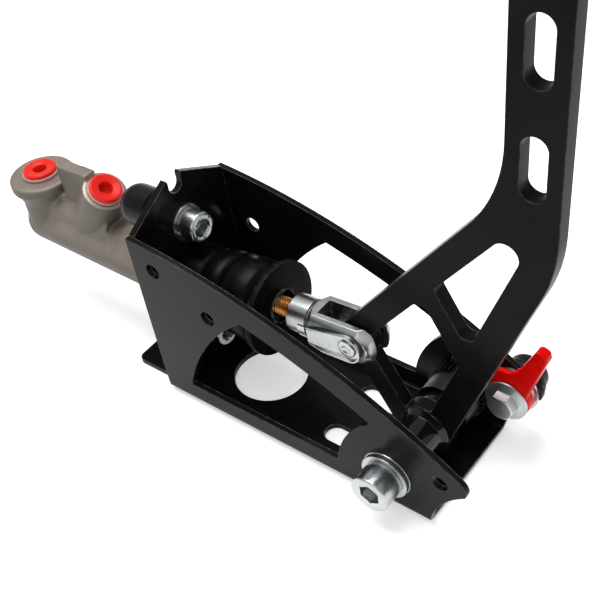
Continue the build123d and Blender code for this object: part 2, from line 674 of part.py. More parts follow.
def grip_fixings():
    """Screw and sleeve nut through each pair of grip holes."""
    fixings = []
    seat = grip_half_width - grip_screw_pocket
    top = seat + grip_screw_head
    for z in grip_screws:
        body = cross_rod(shaft_middle, z, grip_screw_radius, -seat, seat)
        for near, far in ((-top, -seat), (seat, top)):
            body += cross_rod(shaft_middle, z, grip_screw_head_radius - nut_play, near, far)
        socket = cross_hex(shaft_middle, z, grip_screw_socket, -top, -seat)
        fixings.append(body - socket)
    return Compound(fixings)


# Pivot
tube_half = inner_half - bush_flange - end_play


def pivot_tube():
    """Cross tube with a weld bead on each side of the lever plate."""
    tube = cross_rod(pivot_x, pivot_z, tube_radius, -tube_half, tube_half)
    face = plate_thickness / 2
    for side in (-1, 1):
        bead = Cone(tube_radius + weld_size, tube_radius, weld_size)
        turn = Rot(-90 * side, 0, 0)
        place = Pos(pivot_x, side * (face + weld_size / 2), pivot_z)
        tube += place * turn * bead
    return tube - cross_rod(pivot_x, pivot_z, bush_radius, -half_width, half_width)


def pivot_bush(side):
    """Flanged bush pressed into one end of the cross tube."""
    inner, outer = side * (tube_half - bush_length), side * tube_half
    bush = cross_rod(pivot_x, pivot_z, bush_radius, min(inner, outer), max(inner, outer))
    ends = sorted([side * tube_half, side * (tube_half + bush_flange)])
    bush += cross_rod(pivot_x, pivot_z, tube_radius, *ends)
    return bush - cross_rod(pivot_x, pivot_z, pivot_bolt_radius + running_play,
                            -half_width, half_width)


head_face = half_width + pivot_shim_thickness + pivot_washer_thickness
pivot_nut_face = half_width + pivot_washer_thickness


def near_side(y):
    """Placement on the pivot, local Z pointing out of the near side."""
    return Plane(origin=(pivot_x, -y, pivot_z), x_dir=(1, 0, 0), z_dir=(0, -1, 0))


def far_side(y, x=pivot_x, z=pivot_z):
    return Plane(origin=(x, y, z), x_dir=(1, 0, 0), z_dir=(0, 1, 0))


def pivot_bolt():
    reach = head_face + pivot_nut_face + pivot_nut_thickness
    screw = cap_screw(pivot_bolt_radius, reach, pivot_head_radius, pivot_head,
                      pivot_socket, pivot_socket_depth)
    return near_side(head_face) * screw


def pivot_nut_cap():
    radius = pivot_nut_flats / sqrt(3) + nut_play + cap_wall
    cap = nut_cap(radius, pivot_cap_length, pivot_nut_flats, pivot_nut_thickness)
    return far_side(pivot_nut_face) * cap


# Ratchet wheel and pawl
pawl_tip = (pivot_x - pawl_tip_behind,
            pivot_z + sqrt((wheel_radius + pawl_tip_lift) ** 2 - pawl_tip_behind ** 2))


def pawl_tip_engaged():
    """The tip's place when the pawl has turned into the teeth."""
    turn = radians(pawl_engage)
    dx, dz = pawl_tip[0] - pawl_x, pawl_tip[1] - pawl_z
    return (pawl_x + dx * cos(turn) - dz * sin(turn), pawl_z + dx * sin(turn) + dz * cos(turn))


def ratchet_wheel():
    """Toothed wheel on the cross tube; a tooth space faces the engaged pawl tip."""
    tip = pawl_tip_engaged()
    phase = degrees(atan2(tip[1] - pivot_z, tip[0] - pivot_x))
    pitch = 360.0 / wheel_teeth
    points = []
    for tooth in range(wheel_teeth):
        base = phase + tooth * pitch
        low, high = wheel_radius - tooth_depth, wheel_radius
        for share, radius in ((-0.08, low), (0.08, low), (0.36, high), (0.64, high)):
            angle = radians(base + share * pitch)
            points.append((pivot_x + radius * cos(angle), pivot_z + radius * sin(angle)))
    wheel = side_slab(Polygon(*points, align=None), wheel_near, wheel_far)
    wheel += cross_rod(pivot_x, pivot_z, wheel_hub_radius, wheel_hub_near, wheel_near)
    return wheel - cross_rod(pivot_x, pivot_z, tube_radius, 0, half_width)


def pawl():
    """Release lever: thumb finger, ratchet arm with a pointed tip, and a round hub."""
    hub, tip, top = (pawl_x, pawl_z), pawl_tip, pawl_z + pawl_arm_top
    finger = rounded([(pawl_x + dx, pawl_z + dz) for dx, dz in pawl_finger],
                     [0, 2.0, 1.6, 1.8, 2.5, 0, 0])
    arm = rounded([(pawl_x, top), (tip[0] + 4.5, top), (tip[0] - 1.2, tip[1] + 3.2), tip,
                   (tip[0] + 1.6, tip[1] + 2.6), (tip[0] + 7.0, top - pawl_arm_depth + 2.2),
                   (pawl_x - pawl_hub_radius + 1.3, top - pawl_arm_depth - 0.4), hub],
                  [0, 5.0, 0, 0, 0, 2.5, 3.0, 0])
    web = Polygon(hub, (pawl_x + pawl_arm_depth, top), (pawl_x + 3.7, top + 2.5), (pawl_x, top),
                  align=None)
    finger += Pos(*hub) * Circle(pawl_hub_radius)
    body = side_slab(finger, pawl_near, pawl_near + pawl_thickness)
    body += side_slab(arm + web, pawl_near, pawl_near + pawl_arm_thickness)
    return body - cross_rod(*hub, pawl_bolt_radius + running_play, 0, half_width)


pawl_bolt_face = pawl_near - pawl_play
small_nut_face = half_width + m8_washer


def pawl_bolt():
    """Flanged hexagon bolt that the pawl turns on, with its head on the near side."""
    x, z = pawl_x, pawl_z
    flange = pawl_bolt_face - pawl_flange
    bolt = cross_rod(x, z, pawl_flange_radius, flange, pawl_bolt_face)
    bolt += cross_hex(x, z, pawl_bolt_flats, flange - pawl_bolt_head, flange)
    end = small_nut_face + pawl_nut_thickness
    return bolt + cross_rod(x, z, pawl_bolt_radius, pawl_bolt_face, end)


def pawl_spacer():
    """Stepped spacer that keeps the pawl off the far plate."""
    start = pawl_near + pawl_thickness + pawl_play
    spacer = cross_rod(pawl_x, pawl_z, m8_washer_radius, start, inner_half)
    spacer += cross_rod(pawl_x, pawl_z, spacer_lip_radius, inner_half - spacer_lip, inner_half)
    return spacer - cross_rod(pawl_x, pawl_z, pawl_bolt_radius, start, inner_half)


def pawl_nut_cap():
    cap = nut_cap(small_cap_radius, small_cap_length, m8_flats, pawl_nut_thickness)
    return cap + ring(small_cap_lip_radius, small_cap_radius - cap_wall / 2, small_cap_lip)


os.makedirs("parts", exist_ok=True)
save("bracket_channel", bracket_channel())
save("rear_wall", rear_wall())
save("cylinder_body", cylinder_body())
save("port_plug_rear", rear_boss_frame() * Pos(0, 0, rear_boss_face) * port_plug(rear_plug_radius))
save("port_plug_front", front_boss_frame() * Pos(0, 0, front_boss_face) * port_plug(front_plug_radius))
save("flange_bolt_upper", flange_screw(1))
save("flange_bolt_lower", flange_screw(-1))
save("flange_washers_inner", flange_washers(-wall_sheet))
save("flange_washers_outer", flange_washers(nut_back))
save("flange_nuts", flange_nuts())
save("nut_cap_upper", flange_nut_cap(1))
save("nut_cap_lower", flange_nut_cap(-1))
save("piston", piston())
save("piston_seal_front", piston_seal(seal_backs[0]))
save("piston_seal_rear", piston_seal(seal_backs[1]))
save("return_spring", return_spring())
save("stop_washer", stop_washer())
save("circlip", circlip())
save("pushrod", pushrod())
save("clevis", clevis())
save("clevis_pin", clevis_pin())
save("pin_clips", pin_clips())
save("boot", boot())
save("lever_plate", lever_plate())
save("grip_near", grip_half(-1))
save("grip_far", grip_half(1))
save("grip_fixings", grip_fixings())
save("pivot_tube", pivot_tube())
save("pivot_bush_near", pivot_bush(-1))
save("pivot_bush_far", pivot_bush(1))
save("ratchet_wheel", ratchet_wheel())
save("pivot_bolt", pivot_bolt())
save("pivot_shim", near_side(half_width) * ring(pivot_shim_radius, pivot_bolt_radius,
                                                pivot_shim_thickness))
save("pivot_washer_near", near_side(half_width + pivot_shim_thickness)
     * ring(pivot_washer_radius, pivot_bolt_radius, pivot_washer_thickness))
save("pivot_washer_far", far_side(half_width)
     * ring(pivot_washer_radius, pivot_bolt_radius, pivot_washer_thickness))
save("pivot_nut", far_side(pivot_nut_face)
     * hex_nut(pivot_nut_flats, pivot_nut_thickness, pivot_bolt_radius))
save("pivot_nut_cap", pivot_nut_cap())
save("pawl", pawl())
save("pawl_bolt", pawl_bolt())
save("pawl_spacer", pawl_spacer())
save("pawl_washer", far_side(half_width, pawl_x, pawl_z)
     * ring(m8_washer_radius, pawl_bolt_radius, m8_washer))
save("pawl_nut", far_side(small_nut_face, pawl_x, pawl_z)
     * hex_nut(m8_flats, pawl_nut_thickness, pawl_bolt_radius))
save("pawl_nut_cap", far_side(small_nut_face, pawl_x, pawl_z) * pawl_nut_cap())
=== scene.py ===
from math import cos, pi, radians, sin, sqrt, tau

import bmesh
import bpy
from bpy.props import FloatProperty, FloatVectorProperty, PointerProperty
from mathutils import Matrix, Vector


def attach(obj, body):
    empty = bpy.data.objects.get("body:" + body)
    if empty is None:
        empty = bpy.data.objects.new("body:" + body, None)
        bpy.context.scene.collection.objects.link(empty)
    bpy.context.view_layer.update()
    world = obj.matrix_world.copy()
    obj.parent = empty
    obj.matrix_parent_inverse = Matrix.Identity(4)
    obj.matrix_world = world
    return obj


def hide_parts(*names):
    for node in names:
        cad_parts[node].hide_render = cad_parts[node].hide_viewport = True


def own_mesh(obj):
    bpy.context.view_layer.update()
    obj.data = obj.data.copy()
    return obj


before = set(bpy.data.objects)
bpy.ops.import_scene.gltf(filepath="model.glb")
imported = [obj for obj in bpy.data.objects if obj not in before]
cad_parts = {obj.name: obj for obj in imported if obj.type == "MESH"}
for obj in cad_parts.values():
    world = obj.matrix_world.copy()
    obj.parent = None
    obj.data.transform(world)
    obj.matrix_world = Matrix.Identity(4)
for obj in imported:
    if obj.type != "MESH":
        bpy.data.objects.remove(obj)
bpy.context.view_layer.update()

bl_info = {
    "name": "Hydraulic handbrake dressing",
    "version": (1, 0, 0),
    "blender": (4, 5, 0),
    "location": "3D View > Sidebar > Handbrake",
    "description": "Finishes, threads, welds, bellows and casting detail for the handbrake frame",
    "category": "Object",
}

MM = 0.001

# Directions and places in the frame, in millimetres, as the CAD has them
LEAN = radians(2.5)
UP_WALL = Vector((-sin(LEAN), 0, cos(LEAN)))
OFF_WALL = Vector((cos(LEAN), 0, sin(LEAN)))
ACROSS = Vector((0, 1, 0))
AXIS_HEIGHT = 44.1
CYLINDER_AXIS = UP_WALL * AXIS_HEIGHT
PIVOT = Vector((113.6, 0, 18.5))
PIN = Vector((84.0, 0, 51.3))
PAWL = Vector((136.2, 0, 27.4))
TIP_BACK = 5.6
ROD_TIP = CYLINDER_AXIS - OFF_WALL * TIP_BACK
ROD_WAY = (PIN - ROD_TIP).normalized()
ROD_LENGTH = (PIN - ROD_TIP).length
FORK_UP = ROD_WAY.cross(ACROSS)


# Node trees

class Term:
    """A value in a finish's node tree, for use in plain expressions."""

    def __init__(self, finish, socket):
        self.finish = finish
        self.socket = socket

    def _maths(self, operation, *values):
        return self.finish.node("Math", dict(enumerate(values)), operation=operation)

    def __add__(self, other):
        return self._maths("ADD", self, other)

    def __sub__(self, other):
        return self._maths("SUBTRACT", self, other)

    def __rsub__(self, other):
        return self._maths("SUBTRACT", other, self)

    def __mul__(self, other):
        return self._maths("MULTIPLY", self, other)

    def sine(self):
        return self._maths("SINE", self)

    def root(self):
        return self._maths("SQRT", self)

    def size(self):
        return self._maths("ABSOLUTE", self)

    def above(self, other):
        return self._maths("GREATER_THAN", self, other)

    def ramp(self, low, high, to_low=0.0, to_high=1.0):
        values = {0: self, 1: low, 2: high, 3: to_low, 4: to_high}
        return self.finish.node("MapRange", values, interpolation_type="SMOOTHSTEP")


def feed(tree, socket, value):
    """Links an input to a term or a socket, or sets its plain value."""
    if isinstance(value, Term):
        value = value.socket
    if isinstance(value, bpy.types.NodeSocket):
        tree.links.new(value, socket)
    else:
        socket.default_value = value


def add_node(tree, kind, values=None, **settings):
    """Adds a node, sets it, feeds its inputs, and gives its outputs."""
    made = tree.nodes.new(kind)
    for name, setting in settings.items():
        setattr(made, name, setting)
    for name, value in (values or {}).items():
        feed(tree, made.inputs[name], value)
    return made.outputs


class Finish:
    """A procedural material in the making."""

    def __init__(self, name):
        self.material = bpy.data.materials.new(name)
        self.material.use_nodes = True
        self.tree = self.material.node_tree
        self.shader = self.tree.nodes["Principled BSDF"]
        self.place = self.node("TexCoord", output="Object")

    def node(self, kind, values=None, output=0, **settings):
        made = add_node(self.tree, "ShaderNode" + kind, values, **settings)
        return Term(self, made[output])

    def noise(self, size, detail=2.0, rough=0.5, stretch=None):
        """Cloudy noise whose lumps are about size millimetres."""
        place = self.place
        if stretch:
            place = self.node("Mapping", {"Vector": place, "Scale": stretch})
        values = {"Vector": place, "Scale": 1.0 / (size * MM), "Detail": detail, "Roughness": rough}
        return self.node("TexNoise", values)

    def grains(self, size):
        values = {"Vector": self.place, "Scale": 1.0 / (size * MM)}
        return self.node("TexVoronoi", values)

    def tint(self, share, first, second):
        """A colour between two, by share."""
        values = {0: share, 6: first, 7: second}
        return self.node("Mix", values, output=2, data_type="RGBA")

    def bump(self, height, depth, strength=0.5):
        values = {"Height": height, "Distance": depth * MM, "Strength": strength}
        return self.node("Bump", values)

    def attribute(self, name):
        """A number that the mesh carries on its faces."""
        return self.node("Attribute", output=2, attribute_name=name)

    def facing(self, axis):
        """How far the surface faces along one of the world's axes."""
        normal = self.node("NewGeometry", output=1)
        return self.node("SeparateXYZ", {0: normal}, output=axis)

    def vectors(self, operation, values, output=0):
        return self.node("VectorMath", values, output, operation=operation)

    def along(self, origin, way):
        """Height along a line from an origin given in millimetres, and distance from the line."""
        offset = self.vectors("SUBTRACT", {0: self.place, 1: tuple(origin * MM)})
        height = self.vectors("DOT_PRODUCT", {0: offset, 1: tuple(way)}, output=1)
        size = self.vectors("LENGTH", {0: offset}, output=1)
        return height, (size * size - height * height).root()

    def surface(self, **values):
        for name, value in values.items():
            label = name.replace("_IOR_", " IOR ").replace("_", " ")
            feed(self.tree, self.shader.inputs[label], value)
        return self.material


# Finishes

PAINT_DUST = (0.13, 0.11, 0.09, 1.0)
# The paler edge colour is partly rubbed paint and partly a painted highlight.
WORN_PAINT_AND_EDGE_HIGHLIGHT = (0.27, 0.23, 0.175, 1.0)
ZINC_BLUE = (0.27, 0.37, 0.43, 1.0)
PAINTED_DARK_REFLECTION = (0.06, 0.082, 0.095, 1.0)
BLACK_OIL = (0.008, 0.007, 0.006, 1.0)
RUBBER_DUST = (0.08, 0.075, 0.07, 1.0)
CHAFE_AND_HIGHLIGHT_RUBBER = (0.075, 0.066, 0.055, 1.0)
WHITE = (1.0, 1.0, 1.0, 1.0)
CUT_DEPTH = 0.25                      # skin under a boss's face that still looks cut
TURNING_PITCH = 0.35                  # tool marks on a cut face
TORN_HEIGHT, TORN_REACH = 54.2, 7.6   # the boot's torn lip, from the rod's tip and its line


def shade(colour, share=1.0):
    return tuple(channel * share for channel in colour) + (1.0,)


def powder_coat(name, colour, rough=0.16, level=0.09):
    """Semi-gloss black paint: orange peel, faint cloud, a little dust, and paler rounded edges that
    are partly rubbed paint and partly a painted highlight, strongest on edges facing +Y.
    """
    coat = Finish(name)
    peel = coat.noise(1.1, 2.0, 0.45)
    cloud = coat.noise(30.0, 3.0)
    dust = coat.noise(0.45, 1.0).ramp(0.68, 0.8)
    wear_and_edge_highlight = coat.attribute("wear_and_edge_highlight") * coat.noise(3.0, 3.0, 0.6).ramp(0.38, 0.64, 0.25, 0.95)
    # Painted highlight: edges facing +Y, towards the lamp, are made paler than the others.
    wear_and_edge_highlight = wear_and_edge_highlight * coat.facing(1).ramp(-0.3, 0.3, 0.14, 1.0)
    tone = coat.tint(cloud.ramp(0.3, 0.7), shade(colour, 0.75), shade(colour, 1.3))
    tone = coat.tint(dust * 0.08, tone, PAINT_DUST)
    tone = coat.tint(wear_and_edge_highlight, tone, WORN_PAINT_AND_EDGE_HIGHLIGHT)
    return coat.surface(
        Base_Color=tone, Roughness=cloud.ramp(0.3, 0.7, rough, rough + 0.06) + dust * 0.12,
        Normal=coat.bump(peel, 0.03), Specular_IOR_Level=level)


def cast_metal(name, colour, boss, way, radius):
    """Sand-cast aluminium: grainy skin, stains, pinholes, the cut face of one boss, and painted
    shade on faces that turn away from up.
    """
    cast = Finish(name)
    sand = cast.grains(0.7)
    lumps = cast.noise(2.4, 4.0, 0.6)
    stain = cast.noise(15.0, 5.0, 0.6)
    pits = cast.noise(0.9, 1.0).ramp(0.7, 0.76)
    tone = cast.tint(stain.ramp(0.3, 0.7), shade(colour, 0.8), shade(colour, 1.12))
    tone = cast.tint(lumps.ramp(0.35, 0.7) * 0.35, tone, shade(colour, 0.66))
    tone = cast.tint(pits * 0.6, tone, shade(colour, 0.3))
    height, reach = cast.along(boss, way)
    cut = height.above(-CUT_DEPTH * MM) * (radius * MM - reach).above(0.0)
    rings = (reach * (tau / (TURNING_PITCH * MM))).sine()
    tone = cast.tint(cut, tone, cast.tint(stain, shade(colour, 1.15), shade(colour, 1.4)))
    height = (lumps * 0.6 + sand * 0.45 - pits * 0.5) * (1 - cut) + rings * cut * 0.08
    # Painted shade: the less a face turns up, the darker it is painted.
    painted_side_shade = cast.facing(2).ramp(0.0, 0.62, 0.8, 0.0) * (1 - cut)
    tone = cast.tint(painted_side_shade, tone, shade(colour, 0.36))
    rough = stain.ramp(0.3, 0.7, 0.5, 0.62) - cut * 0.16
    return cast.surface(Base_Color=tone, Metallic=cut * 0.25 + 0.5, Roughness=rough,
                        Normal=cast.bump(height, 0.12, 0.75))


def plated_steel(name, colour, rough=0.22, drawn=None, side=None):
    """Bright zinc plate with a cold blue cast; drawn stretches its marks along one way,
    and faces further than side millimetres from the middle plane carry a painted dark reflection
    and shade."""
    plate = Finish(name)
    cloud = plate.noise(9.0, 3.0)
    grain = plate.noise(0.5, stretch=drawn)
    tone = plate.tint(cloud.ramp(0.35, 0.65), shade(colour, 0.9), shade(colour, 1.05))
    blue = plate.noise(6.0).ramp(0.45, 0.75)
    tone = plate.tint(blue * 0.55, tone, ZINC_BLUE)
    stain = plate.noise(1.4, 3.0, 0.6).ramp(0.66, 0.8)
    tone = plate.tint(stain * 0.1, tone, shade(colour, 0.6))
    # Painted reflection and shade: the sides away from the middle plane are darkened.
    if side:
        depth = plate.node("SeparateXYZ", {0: plate.place}, output=1).size()
        painted_side_reflection = depth.ramp((side - 0.1) * MM, side * MM) * cloud.ramp(0.3, 0.6, 0.7, 0.95)
        tone = plate.tint(painted_side_reflection, tone, PAINTED_DARK_REFLECTION)
    return plate.surface(Base_Color=tone, Metallic=1.0,
                         Roughness=cloud.ramp(0.3, 0.7, rough, rough + 0.06) + stain * 0.1,
                         Normal=plate.bump(grain, 0.0015))


def turned_metal(name, colour, rough):
    """Bare metal from the lathe, or metal painted near black as shade, softly clouded."""
    turned = Finish(name)
    cloud = turned.noise(4.0, 3.0)
    tone = turned.tint(cloud, shade(colour, 0.78), shade(colour, 1.12))
    return turned.surface(Base_Color=tone, Metallic=1.0,
                          Roughness=cloud.ramp(0.3, 0.7, rough, rough + 0.12),
                          Normal=turned.bump(turned.noise(0.3), 0.01))


def moulded_plastic(name, colour, rough, level=0.4, oiled=None):
    """Smooth moulded or painted skin; oiled is a line and how far along it black oil begins."""
    plastic = Finish(name)
    cloud = plastic.noise(6.0, 3.0)
    speck = plastic.noise(0.4, 1.0).ramp(0.68, 0.8)
    tone = plastic.tint(cloud, shade(colour, 0.86), shade(colour, 1.1))
    tone = plastic.tint(speck * 0.08, tone, shade(colour, 2.0))
    if oiled:
        origin, way, start = oiled
        depth = plastic.along(origin, way)[0].ramp(start * MM, (start + 2.5) * MM)
        tone = plastic.tint(depth, tone, BLACK_OIL)
    return plastic.surface(Base_Color=tone, Roughness=cloud.ramp(0.3, 0.7, rough, rough + 0.06),
                           Normal=plastic.bump(plastic.noise(2.5), 0.008),
                           Specular_IOR_Level=level)


def soft_rubber(name, colour, rough, level=0.05, rim=None):
    """Moulded rubber with a dusty bloom; with a rim, it is paler further than that from the
    cylinder's axis, and on the torn lip round the rod: partly chafe, partly a painted highlight."""
    rubber = Finish(name)
    bloom = rubber.noise(5.0, 5.0, 0.65)
    dust = rubber.noise(0.7).ramp(0.6, 0.8)
    tone = rubber.tint(bloom.ramp(0.42, 0.75), shade(colour, 0.6), shade(colour, 1.7))
    tone = rubber.tint(dust * 0.06, tone, RUBBER_DUST)
    if rim:
        reach = rubber.along(CYLINDER_AXIS, OFF_WALL)[1]
        height, round_rod = rubber.along(ROD_TIP, ROD_WAY)
        torn = height.above(TORN_HEIGHT * MM) * (TORN_REACH * MM - round_rod).above(0.0)
        patches = rubber.noise(2.5).ramp(0.35, 0.6, 0.2, 1.0)
        # Paler rim and torn lip: partly chafe, partly a painted highlight.
        tone = rubber.tint((reach.above(rim * MM) * 0.16 + torn) * patches, tone, CHAFE_AND_HIGHLIGHT_RUBBER)
    return rubber.surface(Base_Color=tone, Roughness=bloom.ramp(0.3, 0.7, rough, rough + 0.12),
                          Normal=rubber.bump(rubber.noise(1.0, 3.0), 0.03),
                          Specular_IOR_Level=level)


# Mesh making

SMOOTH_ANGLE = 35.0       # degrees; a sharper edge stays an edge
SAME_POINT = 1e-7         # metres
CAD_SAME_POINT = 2e-6     # metres, between the triangles of a CAD mesh
CAD_FLAT_ANGLE = 0.4      # degrees, between triangles of one flat area


def link(name, mesh):
    piece = bpy.data.objects.new(name, mesh)
    bpy.context.scene.collection.objects.link(piece)
    return piece


def new_piece(name, points, faces, smooth=SMOOTH_ANGLE):
    """A piece from points in metres, with its normals facing out."""
    mesh = bpy.data.meshes.new(name)
    mesh.from_pydata(points, [], faces)
    work = bmesh.new()
    work.from_mesh(mesh)
    bmesh.ops.remove_doubles(work, verts=work.verts, dist=SAME_POINT)
    bmesh.ops.recalc_face_normals(work, faces=work.faces)
    work.to_mesh(mesh)
    work.free()
    mesh.shade_smooth()
    mesh.set_sharp_from_angle(angle=radians(smooth))
    return link(name, mesh)


def placed(origin, way, side=ACROSS):
    """Local Z along way, local X along side, origin in millimetres."""
    z = way.normalized()
    y = z.cross(side).normalized()
    x = y.cross(z)
    turn = Matrix((x, y, z)).transposed().to_4x4()
    return Matrix.Translation(origin) @ turn


def arc(radius, start, end, steps):
    """Points of an arc round the origin of a plane."""
    angles = [start + (end - start) * step / steps for step in range(steps + 1)]
    return [(radius * cos(angle), radius * sin(angle)) for angle in angles]


def bands(loops):
    """Faces between each closed loop of point numbers and the next; a pole repeats its point."""
    faces = []
    for low, high in zip(loops, loops[1:]):
        for step in range(len(low)):
            after = (step + 1) % len(low)
            face = list(dict.fromkeys((low[step], low[after], high[after], high[step])))
            if len(face) > 2:
                faces.append(face)
    return faces


def at(value, angle):
    return value(angle) if callable(value) else value


def lathed(name, profile, place, smooth=SMOOTH_ANGLE, segments=72):
    """A closed piece of rings of (radius, height) about local Z, in millimetres. Either may vary
    with the angle. The profile starts and ends on the axis, or closes on itself."""
    points, rings = [], []
    for radius, height in profile:
        if radius == 0:
            rings.append([len(points)] * segments)
            points.append(place @ Vector((0, 0, height)) * MM)
            continue
        rings.append([len(points) + step for step in range(segments)])
        for step in range(segments):
            angle = tau * step / segments
            reach, rise = at(radius, angle), at(height, angle)
            points.append(place @ Vector((reach * cos(angle), reach * sin(angle), rise)) * MM)
    return new_piece(name, points, bands(rings), smooth)


def lofted(name, loops, smooth):
    """A piece through loops of points in millimetres, closed by the first and the last."""
    points, rows = [], []
    for loop in loops:
        rows.append([len(points) + step for step in range(len(loop))])
        points += [point * MM for point in loop]
    return new_piece(name, points, [rows[0][::-1], rows[-1]] + bands(rows), smooth)


def hexagon(flats, turn=0.0):
    """Reach of a hexagon's edge at an angle, with a flat facing angle 0 when turn is 0."""
    def reach(angle):
        part = (angle + turn + pi / 6) % (pi / 3) - pi / 6
        return flats / 2 / cos(part)
    return reach


def rounded_shoulder(radius, height, turn):
    """Profile points of a rounded corner from a wall at radius to a top at height."""
    quarter = arc(1.0, 0.0, pi / 2, 8)
    return [(radius - turn * (1 - out), height - turn * (1 - up)) for out, up in quarter]


def cap_screw(name, place, radius, length, head_radius, head, socket, depth):
    """Socket screw: under-head face at the place's origin, head along local Z."""
    key = hexagon(socket)
    point, edge, crown, mouth = 0.5, 0.3, 0.9, 0.4
    profile = [(0, -length), (radius - point, -length), (radius, point - length), (radius, 0),
               (head_radius - edge, 0), (head_radius, edge)]
    profile += rounded_shoulder(head_radius, head, crown)
    profile += [(0.64 * socket, head), (key, head - mouth), (key, head - depth),
                (0.3 * socket, head - depth - 0.3), (0, head - depth - 0.7)]
    return lathed(name, profile, place, 32.0)


def domed_cap(name, place, radius, length, dome, flats, nut, lip=None):
    """Push-on cap over a nut: open end at the place's origin, dome along local Z."""
    room, edge = flats / sqrt(3) + 0.2, 0.3
    foot = [(radius - edge, 0), (radius, edge)]
    if lip:
        reach, rise = lip
        foot = [(reach - edge, 0)] + rounded_shoulder(reach, rise, 0.5) + [(radius, rise)]
    profile = [(0, nut + 1.0), (flats / 3, nut + 1.0), (flats / 3, nut + 0.4), (room, nut + 0.4),
               (room, 0)] + foot + rounded_shoulder(radius, length, dome) + [(0, length)]
    return lathed(name, profile, place, 40.0)


def give(piece, material):
    piece.data.materials.clear()
    piece.data.materials.append(material)


def finished(piece, material, body, slot, *nodes):
    """Gives a piece its material and its body, and hides the nodes that it stands for. The slot is
    not used.
    """
    give(piece, material)
    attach(piece, body)
    if nodes:
        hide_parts(*nodes)


def dress(nodes, material):
    """Gives carried-over nodes their finish."""
    for name in nodes:
        give(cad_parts[name], material)


def apply_modifiers(piece):
    graph = bpy.context.evaluated_depsgraph_get()
    mesh = bpy.data.meshes.new_from_object(piece.evaluated_get(graph))
    piece.modifiers.clear()
    old, piece.data = piece.data, mesh
    bpy.data.meshes.remove(old)


def merged_copy(node, label):
    """A joined-up copy of a node's mesh with its flat areas as single faces."""
    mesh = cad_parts[node].data.copy()
    mesh.name = label
    mesh.materials.clear()
    for name in ("custom_normal", "sharp_face"):
        if name in mesh.attributes:
            mesh.attributes.remove(mesh.attributes[name])
    work = bmesh.new()
    work.from_mesh(mesh)
    bmesh.ops.remove_doubles(work, verts=work.verts, dist=CAD_SAME_POINT)
    bmesh.ops.dissolve_limit(work, angle_limit=radians(CAD_FLAT_ANGLE), verts=work.verts,
                             edges=work.edges)
    work.to_mesh(mesh)
    work.free()
    return link(label, mesh)


def new_tree(name, inputs):
    """A geometry node tree with named inputs, and its group input's sockets."""
    tree = bpy.data.node_groups.new(name, "GeometryNodeTree")
    tree.interface.new_socket("Geometry", in_out="INPUT", socket_type="NodeSocketGeometry")
    for label, kind, default in inputs:
        socket = tree.interface.new_socket(label, in_out="INPUT", socket_type=kind)
        if default is not None:
            socket.default_value = default
    tree.interface.new_socket("Geometry", in_out="OUTPUT", socket_type="NodeSocketGeometry")
    return tree, tree.nodes.new("NodeGroupInput").outputs


def close_tree(tree, geometry, material):
    """Ends a tree in Realize Instances, smooth shading and Set Material."""
    real = add_node(tree, "GeometryNodeRealizeInstances", {"Geometry": geometry})[0]
    smooth = add_node(tree, "GeometryNodeSetShadeSmooth", {"Geometry": real})[0]
    dressed = add_node(tree, "GeometryNodeSetMaterial", {"Geometry": smooth, "Material": material})
    end = tree.nodes.new("NodeGroupOutput")
    tree.links.new(dressed[0], end.inputs[0])
    return tree


def weld_tree():
    """Overlapping ripples of weld along the edges of a mesh."""
    sizes = [("Spacing", "NodeSocketFloat", 0.0009), ("Width", "NodeSocketFloat", 0.0015),
             ("Seed", "NodeSocketInt", 7), ("Material", "NodeSocketMaterial", None)]
    tree, given = new_tree("weld_ripples", sizes)

    def product(first, second):
        return add_node(tree, "ShaderNodeMath", {0: first, 1: second}, operation="MULTIPLY")[0]

    path = add_node(tree, "GeometryNodeMeshToCurve", {"Mesh": given["Geometry"]})["Curve"]
    path = add_node(tree, "GeometryNodeResampleCurve",
                    {"Curve": path, "Length": given["Spacing"]}, mode="LENGTH")["Curve"]
    ball = add_node(tree, "GeometryNodeMeshIcoSphere", {"Radius": 1.0, "Subdivisions": 3})["Mesh"]
    way = add_node(tree, "GeometryNodeInputTangent")["Tangent"]
    turn = add_node(tree, "FunctionNodeAlignRotationToVector", {"Vector": way}, axis="Z")[0]
    spread = add_node(tree, "FunctionNodeRandomValue",
                      {2: 0.86, 3: 1.14, "Seed": given["Seed"]}, data_type="FLOAT")[1]
    long, wide = product(given["Spacing"], 0.95), product(given["Width"], spread)
    size = add_node(tree, "ShaderNodeCombineXYZ", {0: wide, 1: wide, 2: long})[0]
    beads = add_node(tree, "GeometryNodeInstanceOnPoints",
                     {"Points": path, "Instance": ball, "Rotation": turn, "Scale": size})[0]
    return close_tree(tree, beads, given["Material"])


def coil_tree():
    """A wire wound in a coil along Z."""
    sizes = [("Turns", "NodeSocketFloat", 6.0), ("Radius", "NodeSocketFloat", 0.005),
             ("Height", "NodeSocketFloat", 0.03), ("Wire", "NodeSocketFloat", 0.0008),
             ("Material", "NodeSocketMaterial", None)]
    tree, given = new_tree("wire_coil", sizes)
    path = add_node(tree, "GeometryNodeCurveSpiral",
                    {"Resolution": 32, "Rotations": given["Turns"], "Height": given["Height"],
                     "Start Radius": given["Radius"], "End Radius": given["Radius"]})[0]
    wire = add_node(tree, "GeometryNodeCurvePrimitiveCircle",
                    {"Resolution": 12, "Radius": given["Wire"]})[0]
    coil = add_node(tree, "GeometryNodeCurveToMesh",
                    {"Curve": path, "Profile Curve": wire, "Fill Caps": True})[0]
    return close_tree(tree, coil, given["Material"])


